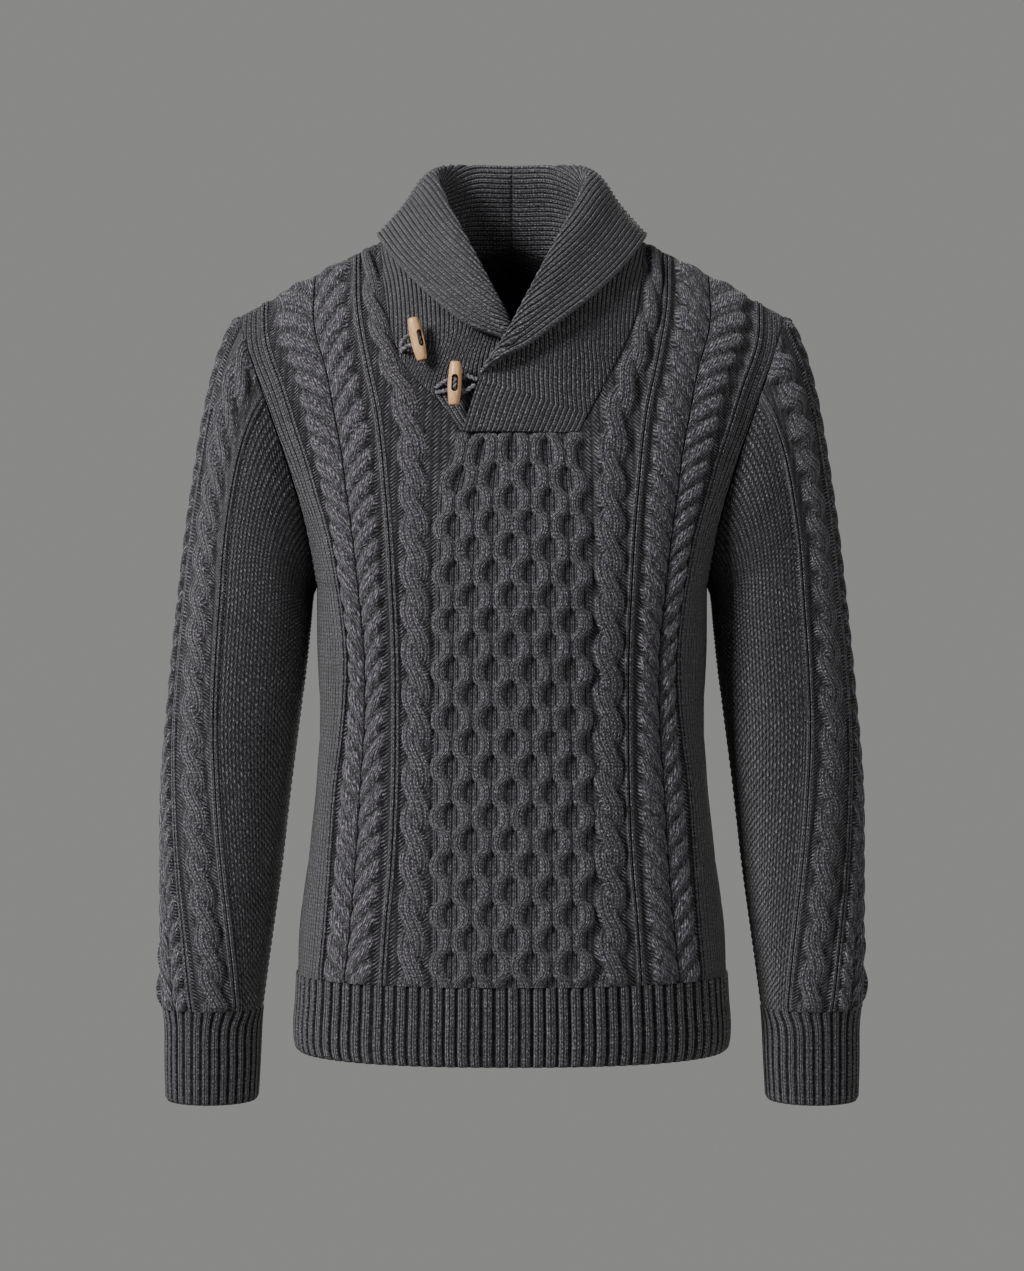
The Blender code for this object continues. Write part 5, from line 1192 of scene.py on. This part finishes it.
def slot_tool():
    """A long cutter with round ends, from in front of the barrel to the slot's floor."""
    front = -2 * TOGGLE_RADIUS
    bpy.ops.mesh.primitive_cube_add(size=MM, location=(0, (front - SLOT_FLOOR) / 2 * MM, 0))
    tool = bpy.context.object
    tool.scale = (SLOT_WIDTH, -SLOT_FLOOR - front, SLOT_LENGTH)
    bpy.ops.object.transform_apply(location=True, scale=True)
    for edge in tool.data.edges:
        near, far = (tool.data.vertices[vert].co for vert in edge.vertices)
        edge.select = abs(near.y - far.y) > MM
    bpy.ops.object.mode_set(mode="EDIT")
    bpy.ops.mesh.select_mode(type="EDGE")
    rounding = (SLOT_WIDTH / 2 - SLOT_END_FLAT) * MM
    bpy.ops.mesh.bevel(offset=rounding, segments=SLOT_END_SEGMENTS, affect="EDGES")
    bpy.ops.object.mode_set(mode="OBJECT")
    return tool


def build_toggle(name, place):
    """A turned barrel with a slot in its front and two holes through the slot's floor for its cord."""
    barrel = turn_barrel()
    apply_cut(barrel, slot_tool())
    depth = 3 * TOGGLE_RADIUS
    for end in (1, -1):
        bpy.ops.mesh.primitive_cylinder_add(
            vertices=HOLE_SIDES,
            radius=CORD_HOLE_RADIUS * MM,
            depth=depth * MM,
            location=(0, (depth / 2 - SLOT_FLOOR - CORD_HOLE_START) * MM, end * CORD_HOLE_PLACE * MM),
            rotation=(math.pi / 2, 0, 0),
        )
        apply_cut(barrel, bpy.context.object)
    soften = barrel.modifiers.new("worn edges", "BEVEL")
    soften.width, soften.segments = WORN_EDGE * MM, 2
    soften.limit_method, soften.angle_limit = "ANGLE", WORN_WOOD
    bpy.context.view_layer.objects.active = barrel
    bpy.ops.object.modifier_apply(modifier=soften.name)
    data = barrel.data
    local = np.array([vert.co for vert in data.vertices])
    turned = data.attributes.new("turned", "FLOAT_VECTOR", "POINT")
    turned.data.foreach_set("vector", local.astype(np.float32).ravel())
    # Painted shade: the wood in the slot and holes, deeper than the skin, is marked to be painted dark.
    skin = np.array([barrel_radius(z / MM) for z in local[:, 2]]) - TOGGLE_SKIN
    in_slot = (np.hypot(local[:, 0], local[:, 1]) / MM < skin) & (np.abs(local[:, 2]) < SLOT_LENGTH / 2 * MM)
    cut = data.attributes.new("cut", "FLOAT", "POINT")
    cut.data.foreach_set("value", in_slot.astype(np.float32))
    centre, axes = place[0], toggle_frame(*place[1:])
    data.transform(Matrix.Translation([value * MM for value in centre]) @ Matrix(axes.T.tolist()).to_4x4())
    data.shade_smooth()
    data.set_sharp_from_angle(angle=SHARP_WOOD)
    barrel.name = data.name = name
    return barrel


def cord_path(place, strands):
    """From the band through the toggle's upper hole, over the bridge in its slot and back by the lower."""
    centre, axes = np.array(place[0]), toggle_frame(*place[1:])
    path = []
    for strand, end in zip(strands, (1, -1)):
        through = [centre + np.array([0, -out, end * run]) @ axes for out, run in CORD_THREADING]
        half = [*strand, *through]
        path += half if end == 1 else reversed(half)
    return path


def build_cord(name, path):
    """Two plies that wind round each other along a smooth curve through the path."""
    path = np.array(path, float)
    track = np.column_stack([lengths(path), path])
    run = np.linspace(0, track[-1, 0], round(track[-1, 0] / PLY_RING_STEP))
    middle = smooth(run, track)
    run = lengths(middle)
    ahead = unit(np.gradient(middle, axis=0))
    side = [unit(np.cross(ahead[0], PLY_ASIDE))]
    for direction in ahead[1:]:
        side.append(unit(side[-1] - direction * (side[-1] @ direction)))
    side = np.array(side)
    other = np.cross(ahead, side)
    mesh = bmesh.new()
    fibres = mesh.loops.layers.uv.new("fibres")
    round_ply = np.arange(PLY_SIDES) * 2 * math.pi / PLY_SIDES
    for ply in (0, 1):
        turn = (2 * math.pi * run / PLY_TWIST + math.pi * ply)[:, None]
        out = side * np.cos(turn) + other * np.sin(turn)
        centre = middle + out * PLY_OFFSET
        rings = []
        for spot, along_side, along_other in zip(centre, side, other):
            ring = spot + PLY_RADIUS * (
                np.cos(round_ply)[:, None] * along_side + np.sin(round_ply)[:, None] * along_other
            )
            rings.append([mesh.verts.new(point * MM) for point in ring])
        for row, (near, far) in enumerate(zip(rings, rings[1:])):
            for number in range(PLY_SIDES):
                after = (number + 1) % PLY_SIDES
                face = mesh.faces.new((near[number], near[after], far[after], far[number]))
                spots = ((number, row), (number + 1, row), (number + 1, row + 1), (number, row + 1))
                for loop, (around, down) in zip(face.loops, spots):
                    twist = run[min(down, len(run) - 1)] / PLY_TWIST
                    loop[fibres].uv = (around / PLY_SIDES - twist + PLY_SHIFT * ply, run[down])
        mesh.faces.new(rings[0][::-1])
        mesh.faces.new(rings[-1])
    bmesh.ops.recalc_face_normals(mesh, faces=mesh.faces)
    data = bpy.data.meshes.new(name)
    mesh.to_mesh(data)
    mesh.free()
    data.shade_smooth()
    data.set_sharp_from_angle(angle=SHARP_YARN)
    cord = bpy.data.objects.new(name, data)
    bpy.context.scene.collection.objects.link(cord)
    return cord


# ---- Materials -----------------------------------------------------------------------------------------
STITCH_DEPTH = 1.5  # depth of the relief that bump gives each stitch


def linear(code):
    """An sRGB hex colour as linear red, green, blue and alpha."""
    parts = [int(code[at : at + 2], 16) / 255 for at in (1, 3, 5)]
    return (*[part / 12.92 if part <= 0.04045 else ((part + 0.055) / 1.055) ** 2.4 for part in parts], 1)


def add_node(tree, kind, inputs=(), output=0, **settings):
    """Adds a node with its settings, feeds its inputs from sockets or values, and returns an output."""
    made = tree.nodes.new("ShaderNode" + kind)
    for name, value in settings.items():
        setattr(made, name, value)
    for place, value in inputs.items() if isinstance(inputs, dict) else enumerate(inputs):
        if isinstance(value, bpy.types.NodeSocket):
            tree.links.new(value, made.inputs[place])
        else:
            made.inputs[place].default_value = value
    return made.outputs[output]


def new_material(name, **values):
    """A material, its node tree and its shader, with the values that are the same all over the surface."""
    material = bpy.data.materials.new(name)
    material.use_nodes = True
    shader = material.node_tree.nodes["Principled BSDF"]
    for socket, value in values.items():
        shader.inputs[socket.replace("_", " ")].default_value = value
    return material, material.node_tree, shader


def shade(fac, *stops):
    """Gives a ramp's output its colours, each a (position, sRGB colour) pair."""
    ramp = fac.node.color_ramp
    while len(ramp.elements) < len(stops):
        ramp.elements.new(1)
    for element, (position, colour) in zip(ramp.elements, stops):
        element.position, element.color = position, linear(colour)
    return fac


def knitted_wool(name, dark, middle, light):
    """Marled woollen yarn, knitted: matt and hairy, with pale fibres in charcoal. Painted light and shade:
    the colour is painted lighter along each leg and near-black in the gaps between the stitches. The
    stitches follow the cables, through the counts in the UV map, and bump rounds them."""
    material, tree, shader = new_material(
        name, Roughness=0.95, Specular_IOR_Level=0.15, Sheen_Weight=0.2, Sheen_Roughness=0.6
    )
    counts = add_node(tree, "UVMap", uv_map="stitches")
    columns = add_node(tree, "SeparateXYZ", (counts,))
    rows = add_node(tree, "SeparateXYZ", (counts,), output=1)
    kind = add_node(tree, "Attribute", output="Fac", attribute_name="kind")
    depth = add_node(tree, "Attribute", output="Fac", attribute_name="depth")
    # From 0 in the gap beside a column to 0.5 between its two legs, which lean together once a row.
    across = add_node(tree, "Math", (columns, 0.5), operation="PINGPONG")
    leg = add_node(tree, "ValToRGB", (across,))
    shade(leg, (0.06, "#202020"), (0.2, "#D4D4D4"), (0.29, "#FFFFFF"), (0.39, "#E8E8E8"), (0.5, "#8C8C8C"))
    # Strokes of purl stand apart, and the pips of moss stitch touch at their sides.
    gap = add_node(tree, "MapRange", (kind, 1.0, 2.0, 0.03, 0.15))
    stroke = add_node(tree, "MapRange", (across, 0.08, 0.38, gap, 1.0), interpolation_type="SMOOTHSTEP")
    # On a cable the yarn is stretched over a round strand, which hides most of the gap between two legs.
    hidden = add_node(tree, "MapRange", (kind, -2.0, 0.0, 0.5, 0.0))
    leg = add_node(tree, "Mix", {"Factor": hidden, "A": leg, "B": 0.9})
    leg = add_node(tree, "Mix", {"Factor": kind, "A": leg, "B": stroke})
    lean = add_node(tree, "Math", (across, -1.1, rows), operation="MULTIPLY_ADD")
    down = add_node(tree, "Math", (lean, 0.5), operation="PINGPONG")
    between = add_node(tree, "MapRange", (kind, 0.0, 1.0, 0.5, 0.05))
    stitch = add_node(tree, "MapRange", (down, 0.0, 0.3, between, 1.0), interpolation_type="SMOOTHSTEP")
    height = add_node(tree, "Math", (leg, stitch), operation="MULTIPLY")
    # Fibres about 0.9 mm wide and 2 mm long, which is coarser than real ones, so that they show.
    fibres = add_node(tree, "Mapping", {"Vector": counts, "Scale": (5.0, 1.5, 1.0)})
    marl = add_node(tree, "TexNoise", {"Vector": fibres, "Scale": 1.0, "Detail": 2.0, "Roughness": 0.65})
    place = add_node(tree, "TexCoord", output="Object")
    hairs = add_node(tree, "TexNoise", {"Vector": place, "Scale": 700.0, "Detail": 2.0, "Roughness": 0.7})
    patches = add_node(tree, "TexNoise", {"Vector": place, "Scale": 45.0, "Detail": 3.0})
    tone = add_node(tree, "Mix", {"Factor": 0.4, "A": marl, "B": hairs})
    fleck = shade(add_node(tree, "ValToRGB", (tone,)), (0.38, dark), (0.5, middle), (0.63, light))
    # Painted light and shade: the stitch's height scales the colour, so the middle of each leg is painted
    # light and the gaps between legs and rows near-black, as shade there.
    lit = add_node(tree, "Math", (height, 0.92, 0.08), operation="MULTIPLY_ADD")
    # Painted shade from the depth attribute: the yarn is painted darker in grooves, on the floor between
    # cables, at sewn edges and inside the garment.
    open_to_light = add_node(tree, "Math", (depth, -0.75, 1.0), operation="MULTIPLY_ADD")
    lit = add_node(tree, "Math", (lit, open_to_light), operation="MULTIPLY")
    wear = add_node(tree, "Math", (patches, 0.5, 0.75), operation="MULTIPLY_ADD")
    lit = add_node(tree, "Math", (lit, wear), operation="MULTIPLY")
    colour = add_node(tree, "VectorMath", {"Vector": fleck, "Scale": lit}, operation="SCALE")
    tree.links.new(colour, shader.inputs["Base Color"])
    relief = add_node(tree, "Math", (hairs, 0.45, height), operation="MULTIPLY_ADD")
    bump = add_node(tree, "Bump", {"Strength": 1.0, "Distance": STITCH_DEPTH * MM, "Height": relief})
    tree.links.new(bump, shader.inputs["Normal"])
    return material


def varnished_beech(name):
    """Turned beech under thin satin varnish: pale straw with fine long grain and short dark ray flecks. The
    end grain drinks the varnish and is browner, and the slot and holes are painted dark brown as painted
    shade in that recess."""
    material, tree, shader = new_material(name, Roughness=0.38, Coat_Weight=0.25, Coat_Roughness=0.2)
    turned = add_node(tree, "Attribute", output="Vector", attribute_name="turned")
    cut = add_node(tree, "Attribute", output="Fac", attribute_name="cut")
    # Grain lines 0.7 mm wide and 12 mm long, and ray flecks 0.35 mm wide and 2 mm long.
    lines = add_node(tree, "Mapping", {"Vector": turned, "Scale": (1400.0, 1400.0, 85.0)})
    grain = add_node(tree, "TexNoise", {"Vector": lines, "Scale": 1.0, "Detail": 3.0, "Distortion": 0.4})
    dashes = add_node(tree, "Mapping", {"Vector": turned, "Scale": (2800.0, 2800.0, 500.0)})
    rays = add_node(tree, "TexNoise", {"Vector": dashes, "Scale": 1.0, "Detail": 1.0})
    wood = shade(add_node(tree, "ValToRGB", (grain,)), (0.3, "#CF9760"), (0.5, "#E3B07C"), (0.7, "#EFC393"))
    ray = add_node(tree, "MapRange", (rays, 0.60, 0.72, 0.0, 0.5))
    wood = add_node(tree, "Mix", {6: wood, 7: linear("#A8713F"), "Factor": ray}, output=2, data_type="RGBA")
    along = add_node(tree, "SeparateXYZ", (turned,), output=2)
    along = add_node(tree, "Math", (along,), operation="ABSOLUTE")
    tip = TOGGLE_HALF_LENGTH * MM
    end = add_node(tree, "MapRange", (along, tip - 0.5 * MM, tip, 0.0, 1.0))
    wood = add_node(tree, "Mix", {6: wood, 7: linear("#A86535"), "Factor": end}, output=2, data_type="RGBA")
    # Painted shade: the slot and holes are painted dark brown.
    wood = add_node(tree, "Mix", {6: wood, 7: linear("#3A2415"), "Factor": cut}, output=2, data_type="RGBA")
    tree.links.new(wood, shader.inputs["Base Color"])
    bump = add_node(tree, "Bump", {"Strength": 0.4, "Distance": 0.1 * MM, "Height": grain})
    tree.links.new(bump, shader.inputs["Normal"])
    return material


def plied_yarn(name):
    """Two plies of grey woollen yarn twisted together: soft and hairy, with fibres along each ply."""
    material, tree, shader = new_material(name, Roughness=0.95, Specular_IOR_Level=0.15, Sheen_Weight=0.3)
    fibres = add_node(tree, "UVMap", uv_map="fibres")
    # One count round a ply is 1 and one along it is 1 mm, so a fibre is 0.7 mm wide and 2.5 mm long.
    fibres = add_node(tree, "Mapping", {"Vector": fibres, "Scale": (9.0, 0.4, 1.0)})
    marl = add_node(tree, "TexNoise", {"Vector": fibres, "Scale": 1.0, "Detail": 3.0, "Roughness": 0.7})
    colour = add_node(tree, "ValToRGB", (marl,))
    shade(colour, (0.32, "#29282C"), (0.5, "#66646B"), (0.7, "#B2AFB7"))
    tree.links.new(colour, shader.inputs["Base Color"])
    bump = add_node(tree, "Bump", {"Strength": 1.0, "Distance": 0.4 * MM, "Height": marl})
    tree.links.new(bump, shader.inputs["Normal"])
    return material


# ---- Light, floor and camera, all in metres ------------------------------------------------------------
CAMERA_DISTANCE = 2.4
EYE_LEVEL = -0.328
VIEW_WIDTH = 0.86  # how wide the picture is at the middle of the garment's depth


def build_stage():
    """A round floor well below the garment, soft lights and a plain grey surround."""
    bpy.ops.mesh.primitive_cylinder_add(vertices=96, radius=1.1, depth=0.02, location=(0, 0, -1.6))
    floor = bpy.context.object
    floor.name = "floor"
    material, _, _ = new_material("pale_matt_floor", Base_Color=linear("#BDBDBB"), Roughness=0.9)
    floor.data.materials.append(material)
    world = bpy.data.worlds.new("grey_surround")
    world.use_nodes = True
    # Grey walls all round, with less light from the ceiling and the ground than from the walls.
    direction = add_node(world.node_tree, "TexCoord")
    rise = add_node(world.node_tree, "SeparateXYZ", (direction,), output=2)
    rise = add_node(world.node_tree, "Math", (rise,), operation="ABSOLUTE")
    grey = shade(add_node(world.node_tree, "ValToRGB", (rise,)), (0.24, "#8A8A89"), (0.5, "#424242"))
    world.node_tree.links.new(grey, world.node_tree.nodes["Background"].inputs[0])
    bpy.context.scene.world = world
    for name, place, aim, size, power in (
        ("key_light", (-2.0, -1.9, 1.1), (0, 0, -0.38), 0.9, 112),
        ("fill_light", (1.8, -2.4, 0.2), (0, 0, -0.35), 1.6, 19),
        ("back_light", (0.4, 2.6, 1.0), (0, 0, -0.3), 1.4, 85),
    ):
        light = bpy.data.lights.new(name, "AREA")
        light.size, light.energy = size, power
        lamp = bpy.data.objects.new(name, light)
        lamp.matrix_world = looking(place, aim)
        bpy.context.scene.collection.objects.link(lamp)


def looking(place, aim):
    """The matrix of a lamp or camera at a place, looking at a point."""
    back = unit(np.subtract(place, aim))
    right = unit(np.cross((0, 0, 1), back))
    turn = Matrix(np.stack([right, np.cross(back, right), back], axis=1).tolist()).to_4x4()
    return Matrix.Translation(place) @ turn


def build_camera():
    lens = bpy.data.cameras.new("camera")
    lens.sensor_fit = "HORIZONTAL"
    lens.sensor_width = 36
    lens.lens = lens.sensor_width * CAMERA_DISTANCE / VIEW_WIDTH
    eye = bpy.data.objects.new("camera", lens)
    eye.matrix_world = looking((0, -CAMERA_DISTANCE, EYE_LEVEL), (0, 0, EYE_LEVEL))
    bpy.context.scene.collection.objects.link(eye)
    bpy.context.scene.camera = eye


# ---- The whole garment ---------------------------------------------------------------------------------
def dress(piece, node, material):
    """Gives a piece its material, hangs it under the root body and hides the CAD node that it stands for."""
    piece.data.materials.append(material)
    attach(piece, "root")
    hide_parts(node)


def cloth(piece, node, material):
    """Dresses a knitted piece, as dress does."""
    dress(piece, node, material)


def main():
    build_camera()
    build_stage()
    wool = knitted_wool("marled_wool_knit", "#19171B", "#524F55", "#AFABB3")
    cloth(build_panel("front_panel", FRONT, pitch=1.75), "front", wool)
    cloth(build_panel("back_panel", BACK, pitch=2.3), "back", wool)
    for side, mirror in (("left", 1), ("right", -1)):
        sleeve = build_sleeve(f"sleeve_{side}_tube", mirror)
        cloth(sleeve, f"sleeve_{side}", wool)
        cloth(build_cuff(f"cuff_{side}_band", mirror), f"cuff_{side}", wool)
    cloth(build_hem("hem_band"), "hem_rib", wool)
    for side, table, mirror in (("left", COLLAR_LEFT, 1), ("right", COLLAR_RIGHT, -1)):
        half = build_collar(f"collar_{side}_half", table, mirror)
        cloth(half, f"collar_{side}", wool)
    beech, yarn = varnished_beech("varnished_beech"), plied_yarn("two_ply_woollen_yarn")
    for name, place in (("toggle_upper", TOGGLE_UPPER), ("toggle_lower", TOGGLE_LOWER)):
        dress(build_toggle(f"{name}_barrel", place), name, beech)
    for name, path in (
        ("cord_upper", cord_path(TOGGLE_UPPER, CORD_UPPER)),
        ("cord_lower", cord_path(TOGGLE_LOWER, CORD_LOWER)),
        ("loop_lower", LOOP_LOWER),
    ):
        dress(build_cord(f"{name}_yarn", path), name, yarn)


main()
